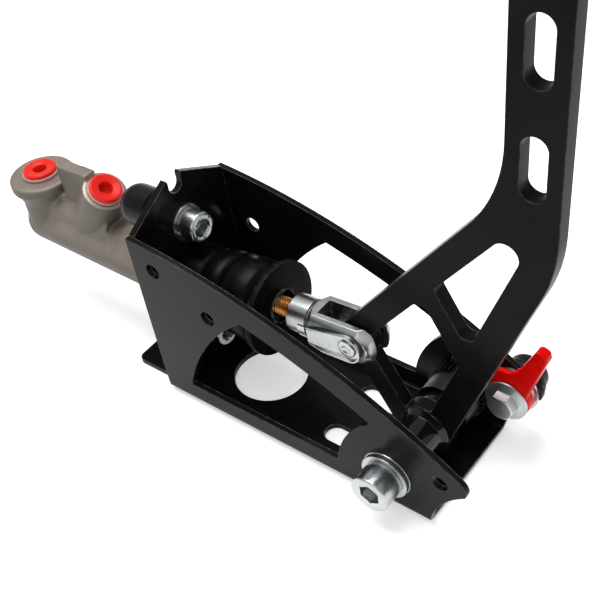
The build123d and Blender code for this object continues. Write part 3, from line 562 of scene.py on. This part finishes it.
def grown(name, points, tree, closed=False, **values):
    """The plain mesh that a geometry node tree makes along a path of points in millimetres."""
    mesh = bpy.data.meshes.new(name)
    edges = [(step, step + 1) for step in range(len(points) - 1)]
    if closed:
        edges.append((len(points) - 1, 0))
    mesh.from_pydata([point * MM for point in points], edges, [])
    piece = link(name, mesh)
    growth = piece.modifiers.new(tree.name, "NODES")
    growth.node_group = tree
    for socket in tree.interface.items_tree:
        if socket.name in values:
            growth[socket.identifier] = values[socket.name]
    apply_modifiers(piece)
    return piece


def cut_to(piece, envelope):
    """Keeps what of a piece lies in an envelope, and takes the envelope away."""
    cut = piece.modifiers.new("cut", "BOOLEAN")
    cut.operation, cut.object, cut.solver = "INTERSECT", envelope, "EXACT"
    apply_modifiers(piece)
    bpy.data.meshes.remove(envelope.data)


def softened(node, name, width, segments=2, edge_wear_and_highlight=1.0, envelope=None):
    """A copy of a node with its sharp edges rounded, and those roundings marked for rubbed paint
    and a painted edge highlight.
    """
    piece = merged_copy(node, name)
    if envelope:
        cut_to(piece, envelope)
    work = bmesh.new()
    work.from_mesh(piece.data)
    # This mark gives the powder coat its rubbed edges and its painted edge highlight.
    wear_and_edge_highlight = work.faces.layers.float.new("wear_and_edge_highlight")
    sharp = [edge for edge in work.edges
             if len(edge.link_faces) == 2 and edge.calc_face_angle() > radians(SMOOTH_ANGLE)]
    made = bmesh.ops.bevel(work, geom=sharp, offset=width * MM, segments=segments, profile=0.5,
                           affect="EDGES", clamp_overlap=False)
    for face in made["faces"]:
        face[wear_and_edge_highlight] = edge_wear_and_highlight
    work.to_mesh(piece.data)
    work.free()
    piece.data.shade_smooth()
    piece.data.set_sharp_from_angle(angle=radians(SMOOTH_ANGLE))
    level = piece.modifiers.new("flat_faces", "WEIGHTED_NORMAL")
    level.weight = 100
    level.keep_sharp = True
    apply_modifiers(piece)
    return piece


# Settings

def colour_setting(name, description, default):
    return FloatVectorProperty(name=name, description=description, default=default,
                               subtype="COLOR", min=0, max=1)


def length_setting(name, description, default, least):
    """A length in metres, never less than least."""
    return FloatProperty(name=name, description=description, default=default,
                         subtype="DISTANCE", min=least)


# Pieces. Lengths are in millimetres, and profiles are (radius, height) pairs.

COATED = {            # node: piece, body, rounding of its edges
    "bracket_channel": ("bracket_shell", "root", 0.24),
    "rear_wall": ("wall_plate", "root", 0.24),
    "lever_plate": ("lever_blade", "lever", 0.3),
}
TUBE_WELD_RADIUS, TUBE_WELD_SIDE, TUBE_WELD_SEED = 8.35, 3.8, 11
WALL_WELD_SIDE, WALL_WELD_LIFT, WALL_WELD_SEED = 25.6, 0.3, 22
WALL_SEAMS = ((9.0, 26.0), (60.0, 77.0))      # from and to, up the wall


class CoatingSizes(bpy.types.PropertyGroup):
    colour: colour_setting("Colour", "Powder coat colour", (0.005, 0.0048, 0.0052))
    bead: length_setting("Weld bead", "Radius of a weld ripple", 0.0014, 0.0005)
    pitch: length_setting("Weld pitch", "Distance between weld ripples", 0.0009, 0.0003)


class HANDBRAKE_OT_coated_plates(bpy.types.Operator):
    """Round the edges of the plates, lay the welds, and powder coat them"""
    bl_idname = "handbrake.coated_plates"
    bl_label = "Coated plates"

    def execute(self, context):
        sizes = context.scene.handbrake_coating
        coat = powder_coat("powder_black", sizes.colour)
        satin = powder_coat("powder_satin", sizes.colour, rough=0.25, level=0.045)
        gloss = powder_coat("powder_gloss", sizes.colour, rough=0.1, level=0.35)
        coats = {"root": coat, "lever": satin}
        for node, (name, body, width) in COATED.items():
            piece = softened(node, name, width)
            finished(piece, coats[body], body, "powder_black", node)
        # The tube's edges get no rubbed paint and no painted edge highlight.
        tube = softened("pivot_tube", "welded_tube", 0.3, edge_wear_and_highlight=0.0)
        finished(tube, gloss, "lever", "powder_black", "pivot_tube")

        tree = weld_tree()
        circle = arc(1.0, 0.0, tau, 60)[:-1]
        for side, name in ((-1, "tube_weld_near"), (1, "tube_weld_far")):
            centre = PIVOT + ACROSS * (side * TUBE_WELD_SIDE)
            ring = [centre + Vector((x, 0, z)) * TUBE_WELD_RADIUS for x, z in circle]
            weld = grown(name, ring, tree, closed=True, Spacing=sizes.pitch,
                         Width=sizes.bead * 0.6, Seed=TUBE_WELD_SEED, Material=satin)
            finished(weld, satin, "lever", "powder_black")
        for side, name in ((-1, "wall_weld_near"), (1, "wall_weld_far")):
            aside = ACROSS * (side * WALL_WELD_SIDE)
            for number, (low, high) in enumerate(WALL_SEAMS, 1):
                seam = [UP_WALL * height + aside + OFF_WALL * WALL_WELD_LIFT
                        for height in (low, (low + high) / 2, high)]
                weld = grown("%s_%d" % (name, number), seam, tree, Spacing=sizes.pitch,
                             Width=sizes.bead, Seed=WALL_WELD_SEED + number, Material=coat)
                finished(weld, coat, "root", "powder_black")
        return {"FINISHED"}


REAR_BOSS = CYLINDER_AXIS - OFF_WALL * 85.5 + UP_WALL * 24.4
FRONT_TILT = radians(32.5)
FRONT_WAY = UP_WALL * cos(FRONT_TILT) + OFF_WALL * sin(FRONT_TILT)
FRONT_BOSS = CYLINDER_AXIS - OFF_WALL * 61.0 + FRONT_WAY * 33.3
CUT_FACE = 9.3        # radius of the front boss's cut face


class CastingSizes(bpy.types.PropertyGroup):
    colour: colour_setting("Colour", "Cast metal colour", (0.226, 0.196, 0.162))
    grain: length_setting("Grain", "Size of the cells that round the casting", 0.0005, 0.0003)


class HANDBRAKE_OT_casting(bpy.types.Operator):
    """Melt the master cylinder's corners together as a sand casting has them"""
    bl_idname = "handbrake.casting"
    bl_label = "Cylinder casting"

    def execute(self, context):
        sizes = context.scene.handbrake_casting
        cast = cast_metal("cast_aluminium", sizes.colour, FRONT_BOSS, FRONT_WAY, CUT_FACE)
        piece = merged_copy("cylinder_body", "cast_cylinder")
        remesh = piece.modifiers.new("cells", "REMESH")
        remesh.mode = "VOXEL"
        remesh.voxel_size = sizes.grain
        melt = piece.modifiers.new("melt", "SMOOTH")
        melt.factor, melt.iterations = 0.5, 12
        apply_modifiers(piece)
        piece.data.shade_smooth()
        finished(piece, cast, "root", "cast_aluminium", "cylinder_body")
        return {"FINISHED"}


PLUGS = (("rear", REAR_BOSS, UP_WALL, 7.5), ("front", FRONT_BOSS, FRONT_WAY, 7.0))
PLUG_STEM = [(0, -13.0), (4.2, -13.0), (4.85, -12.3), (4.85, 1.38)]
# How far in from the head's radius, and height
PLUG_RIM = [(0.3, 1.38), (0, 1.7), (0, 2.35), (0.2, 2.7), (0.55, 2.88), (1.2, 2.86), (1.8, 2.6)]
PLUG_HOLLOW = [(3.5, 2.5), (3.15, 2.3), (2.95, 1.7), (2.8, -1.2), (2.3, -1.6), (1.0, -1.5),
               (0, -1.4)]
SKIRT_OVERHANG, SKIRT_BORE, SKIRT_FOOT, SKIRT_TOP = 0.7, 4.9, 0.02, 1.34
SKIRT_RIM = [(0.3, SKIRT_FOOT), (0, 0.3), (0.1, 1.0), (0.5, SKIRT_TOP)]
FLANGE_SCREWS = 28.0  # up and down the wall from the cylinder's axis
FLANGE_CAP_FOOT, PIVOT_CAP_FOOT, PAWL_CAP_FOOT = 12.4, 30.5, 30.1
FLANGE_CAP = dict(radius=9.0, length=16.6, dome=7.2, flats=13.0, nut=4.7)
PIVOT_CAP = dict(radius=11.0, length=13.0, dome=3.6, flats=17.0, nut=8.0)
PAWL_CAP = dict(radius=8.4, length=8.6, dome=3.2, flats=13.0, nut=4.0, lip=(9.6, 2.2))


def flange_point(side, back):
    """A point on the line of a flange screw, behind the wall's rear face."""
    return CYLINDER_AXIS + UP_WALL * (side * FLANGE_SCREWS) - OFF_WALL * back


class PlasticColours(bpy.types.PropertyGroup):
    plug: colour_setting("Plug", "Port plug colour", (0.69, 0.016, 0.008))
    skirt: colour_setting("Plug skirt", "Colour of the thin sealing skirt", (0.5, 0.24, 0.23))
    cap: colour_setting("Cap", "Nut cap colour", (0.003, 0.003, 0.0032))


class HANDBRAKE_OT_plastics(bpy.types.Operator):
    """Mould the port plugs and the nut caps"""
    bl_idname = "handbrake.plastics"
    bl_label = "Plastic parts"

    def execute(self, context):
        colours = context.scene.handbrake_plastics
        red = moulded_plastic("plug_red", colours.plug, rough=0.28, level=0.16)
        pink = moulded_plastic("plug_skirt", colours.skirt, rough=0.35)
        for name, origin, way, head in PLUGS:
            place = placed(origin, way)
            rim = [(head - inset, height) for inset, height in PLUG_RIM]
            plug = lathed("plug_" + name, PLUG_STEM + rim + PLUG_HOLLOW, place, 40.0)
            finished(plug, red, "root", "red_plastic", "port_plug_" + name)
            rim = [(head + SKIRT_OVERHANG - inset, height) for inset, height in SKIRT_RIM]
            bore = [(SKIRT_BORE, SKIRT_TOP), (SKIRT_BORE, SKIRT_FOOT)]
            skirt = lathed("plug_skirt_" + name, bore[1:] + rim + bore, place, 40.0)
            finished(skirt, pink, "root", "red_plastic", "port_plug_" + name)

        black = moulded_plastic("cap_black", colours.cap, rough=0.26, level=0.15)
        for side, name in ((1, "upper"), (-1, "lower")):
            place = placed(flange_point(side, FLANGE_CAP_FOOT), -OFF_WALL)
            cap = domed_cap("dome_" + name, place, **FLANGE_CAP)
            finished(cap, black, "root", "black_plastic", "nut_cap_" + name)
        place = placed(PIVOT + ACROSS * PIVOT_CAP_FOOT, ACROSS, OFF_WALL)
        cap = domed_cap("dome_pivot", place, **PIVOT_CAP)
        finished(cap, black, "root", "black_plastic", "pivot_nut_cap")
        place = placed(PAWL + ACROSS * PAWL_CAP_FOOT, ACROSS, OFF_WALL)
        cap = domed_cap("dome_pawl", place, **PAWL_CAP)
        finished(cap, black, "root", "black_plastic", "pawl_nut_cap")
        return {"FINISHED"}


class GripSizes(bpy.types.PropertyGroup):
    colour: colour_setting("Colour", "Grip rubber colour", (0.012, 0.012, 0.013))


class HANDBRAKE_OT_grip(bpy.types.Operator):
    """Mould the grooved grip round the top of the lever"""
    bl_idname = "handbrake.grip"
    bl_label = "Grooved grip"

    def execute(self, context):
        rubber = soft_rubber("grip_rubber", context.scene.handbrake_grip.colour, rough=0.5)
        for side in ("near", "far"):
            core = softened("grip_" + side, "grip_core_" + side, 0.35, segments=3)
            finished(core, rubber, "lever", "grip_rubber", "grip_" + side)
        return {"FINISHED"}


FLANGE_HEAD, PIVOT_HEAD, PAWL_HEAD = -4.6, 31.0, 18.9     # where the heads seat
FLANGE_SCREW = dict(radius=4.0, length=21.7, head_radius=6.5, head=8.0, socket=6.0, depth=4.2)
PIVOT_SCREW = dict(radius=5.0, length=69.5, head_radius=8.0, head=10.0, socket=8.0, depth=5.5)
PAWL_HEX = hexagon(10.0, pi / 6)


def pawl_hex_top(angle):
    """Height of the stamped head's top edge, which falls away towards its corners."""
    return 5.55 - 0.55 * (PAWL_HEX(angle) - 4.8)


PAWL_BOLT = [(0, -15.2), (3.5, -15.2), (4.0, -14.7), (4.0, 0), (8.9, 0), (9.0, 0.3), (8.9, 0.8),
             (6.3, 1.5), (PAWL_HEX, 1.65), (PAWL_HEX, pawl_hex_top), (4.75, 5.6), (0, 5.6)]
ROUNDED_FIXINGS = {   # body: nodes
    "root": ("flange_washers_inner", "flange_washers_outer", "flange_nuts", "pivot_shim",
             "pivot_washer_near", "pivot_washer_far", "pivot_nut", "pawl_washer", "pawl_nut"),
    "lever": ("grip_fixings",),
}


class MetalColours(bpy.types.PropertyGroup):
    zinc: colour_setting("Zinc", "Zinc plate colour", (0.505, 0.515, 0.51))
    pawl: colour_setting("Pawl", "Pawl colour", (0.6, 0.0006, 0.0004))


class HANDBRAKE_OT_fixings(bpy.types.Operator):
    """Turn the screws, and round the washers and the nuts"""
    bl_idname = "handbrake.fixings"
    bl_label = "Screws and washers"

    def execute(self, context):
        colour = context.scene.handbrake_metals.zinc
        zinc = plated_steel("zinc", colour)
        for side, name in ((1, "upper"), (-1, "lower")):
            place = placed(flange_point(side, FLANGE_HEAD), OFF_WALL)
            screw = cap_screw("screw_" + name, place, **FLANGE_SCREW)
            finished(screw, zinc, "root", "zinc", "flange_bolt_" + name)
        place = placed(PIVOT - ACROSS * PIVOT_HEAD, -ACROSS, OFF_WALL)
        screw = cap_screw("pivot_screw", place, **PIVOT_SCREW)
        finished(screw, zinc, "root", "zinc", "pivot_bolt")
        place = placed(PAWL + ACROSS * PAWL_HEAD, -ACROSS, OFF_WALL)
        bolt = lathed("pawl_screw", PAWL_BOLT, place, 16.0)
        stamped = plated_steel("stamped_zinc", colour, rough=0.34)
        finished(bolt, stamped, "root", "zinc", "pawl_bolt")
        for body, nodes in ROUNDED_FIXINGS.items():
            for node in nodes:
                finished(softened(node, "round_" + node, 0.18), zinc, body, "zinc", node)
        dress(["stop_washer", "circlip"], zinc)
        return {"FINISHED"}


CLEVIS_SIDE = 7.95    # the clevis's sides carry a painted dark reflection and shade from here out
DOME_RADIUS, DOME_CENTRE, DOME_REACH = 14.3, -3.5, 11.4   # its turned front, from the pin
BEYOND_CLEVIS = [(30.0, -60.0), (0, -60.0)]
PIN_END = [(4.0, 9.1), (3.6, 9.5), (3.3, 9.6), (1.9, 9.6), (1.7, 9.45), (0, 8.3)]
FAR_CLIP = [(4.02, 8.02), (5.3, 8.02), (5.6, 8.2), (5.5, 8.7), (4.6, 8.8), (4.02, 8.6),
            (4.02, 8.02)]
STRAP_SIDE = 8.03     # the strap's back, from the middle plane
STRAP_END, STRAP_NOSE = -19.4, 6.2
STRAP_FADE = 3.0      # length over which the lip rises from the strap's end
LIP_WIDTH, LIP_FOOT = 0.55, 1.1
COLLAR_ARC = radians(-122.0), radians(12.0), 28
COLLAR_SECTION = ((7.72, -24.2), (8.3, -24.2), (8.3, -20.6), (7.72, -20.6))


def strap_outline(inset):
    """The spring strap's outline on the fork's side, along and up from the pin."""
    return ([(STRAP_END, -5.6 + inset), (-12.0, -6.2 + inset)]
            + arc(STRAP_NOSE - inset, radians(-92.0), radians(104.0), 24)
            + [(-9.0, 4.9 - inset), (STRAP_END, 2.6 - inset)])


def strap_loop(inset, depth, lip=0.0):
    """The strap's outline at a depth from the middle plane; its lip fades at the strap's end."""
    loop = []
    for along, up in strap_outline(inset):
        fade = min(1.0, max(0.0, (along - STRAP_END) / STRAP_FADE))
        loop.append(PIN + ROD_WAY * along + FORK_UP * up - ACROSS * (depth + lip * fade))
    return loop


class ForkSizes(bpy.types.PropertyGroup):
    strap: length_setting("Strap", "Thickness of the spring strap", 0.0006, 0.0003)
    lip: length_setting("Lip", "Height of the strap's folded lip", 0.0017, 0.0005)
    colour: colour_setting("Colour", "Clevis plate colour", (0.42, 0.425, 0.41))


class HANDBRAKE_OT_fork(bpy.types.Operator):
    """Finish the clevis with its pin and the spring strap that holds it"""
    bl_idname = "handbrake.fork"
    bl_label = "Clevis, pin and strap"

    def execute(self, context):
        sizes = context.scene.handbrake_fork
        # The fork's far sides carry the painted dark reflection and shade.
        zinc = plated_steel("fork_zinc", sizes.colour, rough=0.26, drawn=(0.12, 1.0, 1.0),
                            side=CLEVIS_SIDE)
        spring = plated_steel("strap_zinc", context.scene.handbrake_metals.zinc)
        reaches = [DOME_REACH * step / 12 for step in range(13)]
        dome = [(reach, sqrt(DOME_RADIUS ** 2 - reach ** 2) + DOME_CENTRE) for reach in reaches]
        profile = dome + [(BEYOND_CLEVIS[0][0], dome[-1][1])] + BEYOND_CLEVIS
        turning = lathed("clevis_turning", profile, placed(PIN, ROD_WAY))
        fork = softened("clevis", "turned_clevis", 0.16, envelope=turning)
        finished(fork, zinc, "pushrod", "zinc", "clevis")

        through = placed(PIN, ACROSS, ROD_WAY)
        near_end = [(radius, -height) for radius, height in reversed(PIN_END)]
        pin = lathed("dimpled_pin", near_end + PIN_END, through, 30.0)
        finished(pin, spring, "pushrod", "zinc", "clevis_pin")
        clip = lathed("far_clip", FAR_CLIP, through, 30.0)
        finished(clip, spring, "pushrod", "zinc", "pin_clips")

        face, rise = STRAP_SIDE + sizes.strap / MM, (sizes.lip - sizes.strap) / MM
        loops = [strap_loop(0.0, STRAP_SIDE), strap_loop(0.0, face, rise),
                 strap_loop(LIP_WIDTH, face, rise), strap_loop(LIP_FOOT, face)]
        strap = lofted("pin_strap", loops, 40.0)
        finished(strap, spring, "pushrod", "zinc", "pin_clips")
        loops = []
        for across, up in arc(1.0, *COLLAR_ARC):
            spread = FORK_UP * up - ACROSS * across
            loops.append([PIN + ROD_WAY * along + spread * reach
                          for reach, along in COLLAR_SECTION])
        collar = lofted("strap_collar", loops, 30.0)
        finished(collar, spring, "pushrod", "zinc", "pin_clips")
        return {"FINISHED"}


SPRING_TURNS, SPRING_RADIUS, SPRING_WIRE, SPRING_LENGTH = 6.0, 5.4, 0.8, 32.6
SPRING_SEAT = CYLINDER_AXIS - OFF_WALL * 77.6
PAWL_OIL = (PAWL, Vector((-1, 0, 0)), 13.0)   # a line to the pawl's nose, and where oil begins


class HANDBRAKE_OT_ratchet(bpy.types.Operator):
    """Finish the ratchet wheel, the painted pawl and what is inside the cylinder"""
    bl_idname = "handbrake.ratchet"
    bl_label = "Ratchet, pawl and piston"

    def execute(self, context):
        # Painted shade: the zinc ratchet wheel is coloured near black, as it sits in shade between
        # the plates.
        painted_wheel_shade = turned_metal("wheel_black_painted_shade", (0.035, 0.033, 0.032), 0.3)
        wheel = softened("ratchet_wheel", "toothed_wheel", 0.12)
        finished(wheel, painted_wheel_shade, "lever", "zinc", "ratchet_wheel")
        paint = moulded_plastic("red_paint", context.scene.handbrake_metals.pawl, rough=0.25,
                                level=0.07, oiled=PAWL_OIL)
        pawl = softened("pawl", "red_pawl", 0.8, segments=4)
        finished(pawl, paint, "pawl", "red_anodised", "pawl")

        steel = turned_metal("spring_steel", (0.5, 0.5, 0.52), 0.3)
        spring = grown("coil_spring", [Vector(), Vector((0, 0, 1))], coil_tree(),
                       Turns=SPRING_TURNS, Radius=SPRING_RADIUS * MM, Wire=SPRING_WIRE * MM,
                       Height=(SPRING_LENGTH - 2 * SPRING_WIRE) * MM, Material=steel)
        stand = placed(SPRING_SEAT + OFF_WALL * SPRING_WIRE, OFF_WALL)
        stand.translation *= MM
        spring.data.transform(stand)
        finished(spring, steel, "root", "spring_steel", "return_spring")
        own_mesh(spring)

        aluminium = turned_metal("turned_aluminium", (0.7, 0.7, 0.71), 0.25)
        dress(["piston", "pawl_spacer"], aluminium)
        bronze = turned_metal("bush_bronze", (0.6, 0.4, 0.19), 0.35)
        dress(["pivot_bush_near", "pivot_bush_far"], bronze)
        rubber = soft_rubber("seal_rubber", (0.02, 0.02, 0.02), rough=0.4)
        dress(["piston_seal_front", "piston_seal_rear"], rubber)
        return {"FINISHED"}


# The rod, from its tip towards the clevis pin
ROD_BALL, ROD_TAIL = 4.4, 3.9                  # radius of the ball tip and of the plain tail
THREAD_START, THREAD_END = 30.0, ROD_LENGTH - 22.0
THREAD_STEPS, THREAD_ROUND = 6, 40             # rings in a turn, and points in a ring
THREAD_DEPTH, THREAD_FLANK = 0.6, 2.6          # depth in pitches, and steepness of the flanks
HAIR = 0.01                                    # keeps two rings apart


def rod_profile(radius, pitch):
    """Ball tip, plain tail, and the rings of a thread whose crest winds round the rod."""
    neck = sqrt(ROD_BALL ** 2 - ROD_TAIL ** 2)
    ball = [(reach, -rise) for rise, reach in arc(ROD_BALL, 0.0, 0.75 * pi, 12) if -rise < neck]
    rings = []
    length = THREAD_END - THREAD_START
    count = int(length / pitch * THREAD_STEPS)
    for row in range(count + 1):
        height = THREAD_START + HAIR + row * length / count

        def crest(angle, height=height):
            phase = (height / pitch - angle / tau) % 1.0
            fade = min(1.0, (height - THREAD_START) / 1.5, THREAD_END - height + 0.2)
            return radius - THREAD_DEPTH * pitch * fade * (
                1 - min(1.0, THREAD_FLANK * abs(phase - 0.5)))
        rings.append((crest, height))
    tail = [(ROD_TAIL, neck), (ROD_TAIL, THREAD_START)]
    return ball + tail + rings + [(0, THREAD_END + HAIR)]


class RodSizes(bpy.types.PropertyGroup):
    radius: length_setting("Radius", "Thread crest radius", 0.004, 0.001)
    pitch: length_setting("Pitch", "Thread pitch", 0.00125, 0.0002)
    colour: colour_setting("Colour", "Yellow plated thread", (0.5, 0.22, 0.06))


class HANDBRAKE_OT_pushrod(bpy.types.Operator):
    """Cut the thread on the pushrod"""
    bl_idname = "handbrake.pushrod"
    bl_label = "Threaded pushrod"

    def execute(self, context):
        sizes = context.scene.handbrake_rod
        profile = rod_profile(sizes.radius / MM, sizes.pitch / MM)
        rod = lathed("threaded_pushrod", profile, placed(ROD_TIP, ROD_WAY), 60.0, THREAD_ROUND)
        brass = turned_metal("rod_brass", sizes.colour, 0.24)
        finished(rod, brass, "pushrod", "rod_brass", "pushrod")
        return {"FINISHED"}


# The boot, about the cylinder's axis and off the wall
BOOT_ROUND = 96       # points in a ring
BELLOWS = [(15.0, 3.4), (15.1, 13.6), (14.6, 14.6), (13.0, 15.4), (13.1, 15.8), (15.2, 16.6),
           (15.9, 17.6), (16.1, 23.6), (15.4, 24.8), (13.4, 25.7), (13.5, 26.1), (16.0, 26.9),
           (16.9, 28.2), (17.2, 38.6), (16.6, 39.8), (14.8, 41.2), (14.4, 42.6)]
LIP_TOP, LIP_TEAR = 49.0, 0.5                  # mean height of the torn lip, and its swing
DISC_HEIGHT = 47.0
ROD_LIFT = (CYLINDER_AXIS + OFF_WALL * DISC_HEIGHT - ROD_TIP).cross(ROD_WAY).length


def round_rod(radius):
    """Reach of a circle that stands round the rod, above the cylinder's axis."""
    return lambda angle: (ROD_LIFT * sin(angle)
                          + sqrt(radius ** 2 - (ROD_LIFT * cos(angle)) ** 2))


def torn_edge(angle):
    return LIP_TOP + LIP_TEAR * sin(3 * angle + 0.6) * sin(7 * angle)


class BootSizes(bpy.types.PropertyGroup):
    wall: length_setting("Wall", "Rubber thickness", 0.0015, 0.0005)
    disc: length_setting("Disc", "Front disc radius", 0.0198, 0.01)
    colour: colour_setting("Colour", "Boot rubber colour", (0.0036, 0.0036, 0.0039))


class HANDBRAKE_OT_boot(bpy.types.Operator):
    """Mould the rubber boot: bellows on the cylinder and a lipped disc round the rod"""
    bl_idname = "handbrake.boot"
    bl_label = "Rubber boot"

    def execute(self, context):
        sizes = context.scene.handbrake_boot
        wall, disc = sizes.wall / MM, sizes.disc / MM
        rubber = soft_rubber("boot_rubber", sizes.colour, rough=0.27, level=0.08)
        place = placed(CYLINDER_AXIS, OFF_WALL)
        inside = [(radius - wall, height) for radius, height in reversed(BELLOWS)]
        bellows = lathed("boot_bellows", BELLOWS + inside + BELLOWS[:1], place, 50.0, BOOT_ROUND)
        finished(bellows, rubber, "root", "rubber", "boot")
        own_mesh(bellows)

        rim = [(13.2, 42.0), (17.2, 41.8), (18.6, 42.8), (disc - 0.3, 44.4), (disc, 44.7),
               (disc, 47.1), (disc - 0.25, 47.4), (disc - 0.9, 47.5), (14.0, 47.6),
               (round_rod(8.8), 47.7), (round_rod(7.6), 47.9), (round_rod(7.1), torn_edge),
               (round_rod(6.7), torn_edge), (round_rod(6.4), 47.4), (round_rod(4.6), 47.0),
               (round_rod(4.4), 46.0), (round_rod(6.0), 45.0), (11.5, 44.4), (13.2, 42.0)]
        front = lathed("boot_front_disc", rim, place, 50.0, BOOT_ROUND)
        # The disc's rim and torn lip are made paler: partly chafe, partly a painted highlight.
        edged = soft_rubber("boot_edge", sizes.colour, rough=0.3, level=0.02, rim=disc - 0.35)
        finished(front, edged, "pushrod", "rubber", "boot")
        return {"FINISHED"}


CAMERA_PLACE = Vector((266.47, -227.31, 333.95))
CAMERA_TURN, CAMERA_TILT, CAMERA_ROLL = radians(42.36), radians(44.11), radians(-7.85)
CAMERA_SHIFT = (-0.0199, 0.0666)
LAMPS = (             # name, place in metres, width, power
    ("key_softbox", (-0.4, 0.12, 1.75), 1.2, 30.0),
    ("front_softbox", (0.3, -1.3, 1.0), 0.8, 2.0),
)
LIT_POINT = (0.05, 0.0, 0.08)
FLOOR_HALF, FLOOR_GLOW = 4.0, 0.42


class StageSizes(bpy.types.PropertyGroup):
    lens: FloatProperty(name="Lens", description="Camera focal length in millimetres",
                        default=64.75, min=10)
    floor: colour_setting("Floor", "Floor colour", (0.86, 0.86, 0.86))
    horizon: FloatProperty(name="Horizon", description="Studio light from the sides",
                           default=0.62, min=0)
    zenith: FloatProperty(name="Zenith", description="Studio light from above", default=0.6, min=0)


def aimed(place, target):
    """Matrix of a light at place that faces target, in metres."""
    back = (Vector(place) - Vector(target)).normalized()
    turn = back.to_track_quat("Z", "Y").to_matrix().to_4x4()
    return Matrix.Translation(place) @ turn


class HANDBRAKE_OT_stage(bpy.types.Operator):
    """Set the floor, the lights and the camera"""
    bl_idname = "handbrake.stage"
    bl_label = "Stage"

    def execute(self, context):
        sizes = context.scene.handbrake_stage
        back = Vector((sin(CAMERA_TURN) * cos(CAMERA_TILT), -cos(CAMERA_TURN) * cos(CAMERA_TILT),
                       sin(CAMERA_TILT)))
        right = Vector((cos(CAMERA_TURN), sin(CAMERA_TURN), 0))
        up = back.cross(right)
        side = right * cos(CAMERA_ROLL) + up * sin(CAMERA_ROLL)
        top = up * cos(CAMERA_ROLL) - right * sin(CAMERA_ROLL)
        lens = bpy.data.cameras.new("camera")
        lens.lens = sizes.lens
        lens.sensor_width = 36.0
        lens.shift_x, lens.shift_y = CAMERA_SHIFT
        lens.clip_start, lens.clip_end = 0.01, 20.0
        camera = link("camera", lens)
        turn = Matrix((side, top, back)).transposed().to_4x4()
        camera.matrix_world = Matrix.Translation(CAMERA_PLACE * MM) @ turn
        context.scene.camera = camera

        ends = ((-1, -1), (1, -1), (1, 1), (-1, 1))
        corners = [(FLOOR_HALF * x, FLOOR_HALF * y, 0) for x, y in ends]
        floor = new_piece("floor", corners, [(0, 1, 2, 3)])
        paper = Finish("paper")
        tone = paper.tint(paper.noise(90.0), shade(sizes.floor, 0.985), shade(sizes.floor))
        give(floor, paper.surface(Base_Color=tone, Roughness=0.75, Emission_Color=WHITE,
                                  Emission_Strength=FLOOR_GLOW))

        world = bpy.data.worlds.new("studio")
        world.use_nodes = True
        sky = world.node_tree
        way = add_node(sky, "ShaderNodeTexCoord")["Generated"]
        climb = add_node(sky, "ShaderNodeSeparateXYZ", {0: way})["Z"]
        light = add_node(sky, "ShaderNodeMapRange",
                         {"Value": climb, "From Min": 0.0, "From Max": 0.9,
                          "To Min": sizes.horizon, "To Max": sizes.zenith})[0]
        feed(sky, sky.nodes["Background"].inputs["Strength"], light)
        feed(sky, sky.nodes["Background"].inputs["Color"], WHITE)
        context.scene.world = world
        for name, place, width, power in LAMPS:
            lamp = bpy.data.lights.new(name, "AREA")
            lamp.shape = "SQUARE"
            lamp.size = width
            lamp.energy = power
            link(name, lamp).matrix_world = aimed(place, LIT_POINT)
        context.scene.view_settings.view_transform = "Standard"
        return {"FINISHED"}


OPERATORS = [HANDBRAKE_OT_stage, HANDBRAKE_OT_coated_plates, HANDBRAKE_OT_casting,
             HANDBRAKE_OT_plastics, HANDBRAKE_OT_grip, HANDBRAKE_OT_fixings, HANDBRAKE_OT_fork,
             HANDBRAKE_OT_ratchet, HANDBRAKE_OT_pushrod, HANDBRAKE_OT_boot]
GROUPS = {"handbrake_stage": StageSizes, "handbrake_coating": CoatingSizes,
          "handbrake_casting": CastingSizes, "handbrake_plastics": PlasticColours,
          "handbrake_grip": GripSizes, "handbrake_metals": MetalColours,
          "handbrake_fork": ForkSizes, "handbrake_rod": RodSizes, "handbrake_boot": BootSizes}


class HANDBRAKE_PT_panel(bpy.types.Panel):
    bl_label = "Hydraulic handbrake"
    bl_idname = "HANDBRAKE_PT_panel"
    bl_space_type = "VIEW_3D"
    bl_region_type = "UI"
    bl_category = "Handbrake"

    def draw(self, context):
        for operator in OPERATORS:
            self.layout.operator(operator.bl_idname)
        for name, group in GROUPS.items():
            box = self.layout.box()
            for setting in group.__annotations__:
                box.prop(getattr(context.scene, name), setting)


def register():
    for kind in (*GROUPS.values(), *OPERATORS, HANDBRAKE_PT_panel):
        bpy.utils.register_class(kind)
    for name, group in GROUPS.items():
        setattr(bpy.types.Scene, name, PointerProperty(type=group))


def unregister():
    for name in GROUPS:
        delattr(bpy.types.Scene, name)
    for kind in (HANDBRAKE_PT_panel, *reversed(OPERATORS), *reversed(GROUPS.values())):
        bpy.utils.unregister_class(kind)


def main():
    register()
    for operator in OPERATORS:
        family, _, name = operator.bl_idname.partition(".")
        getattr(getattr(bpy.ops, family), name)()


if __name__ == "__main__":
    main()
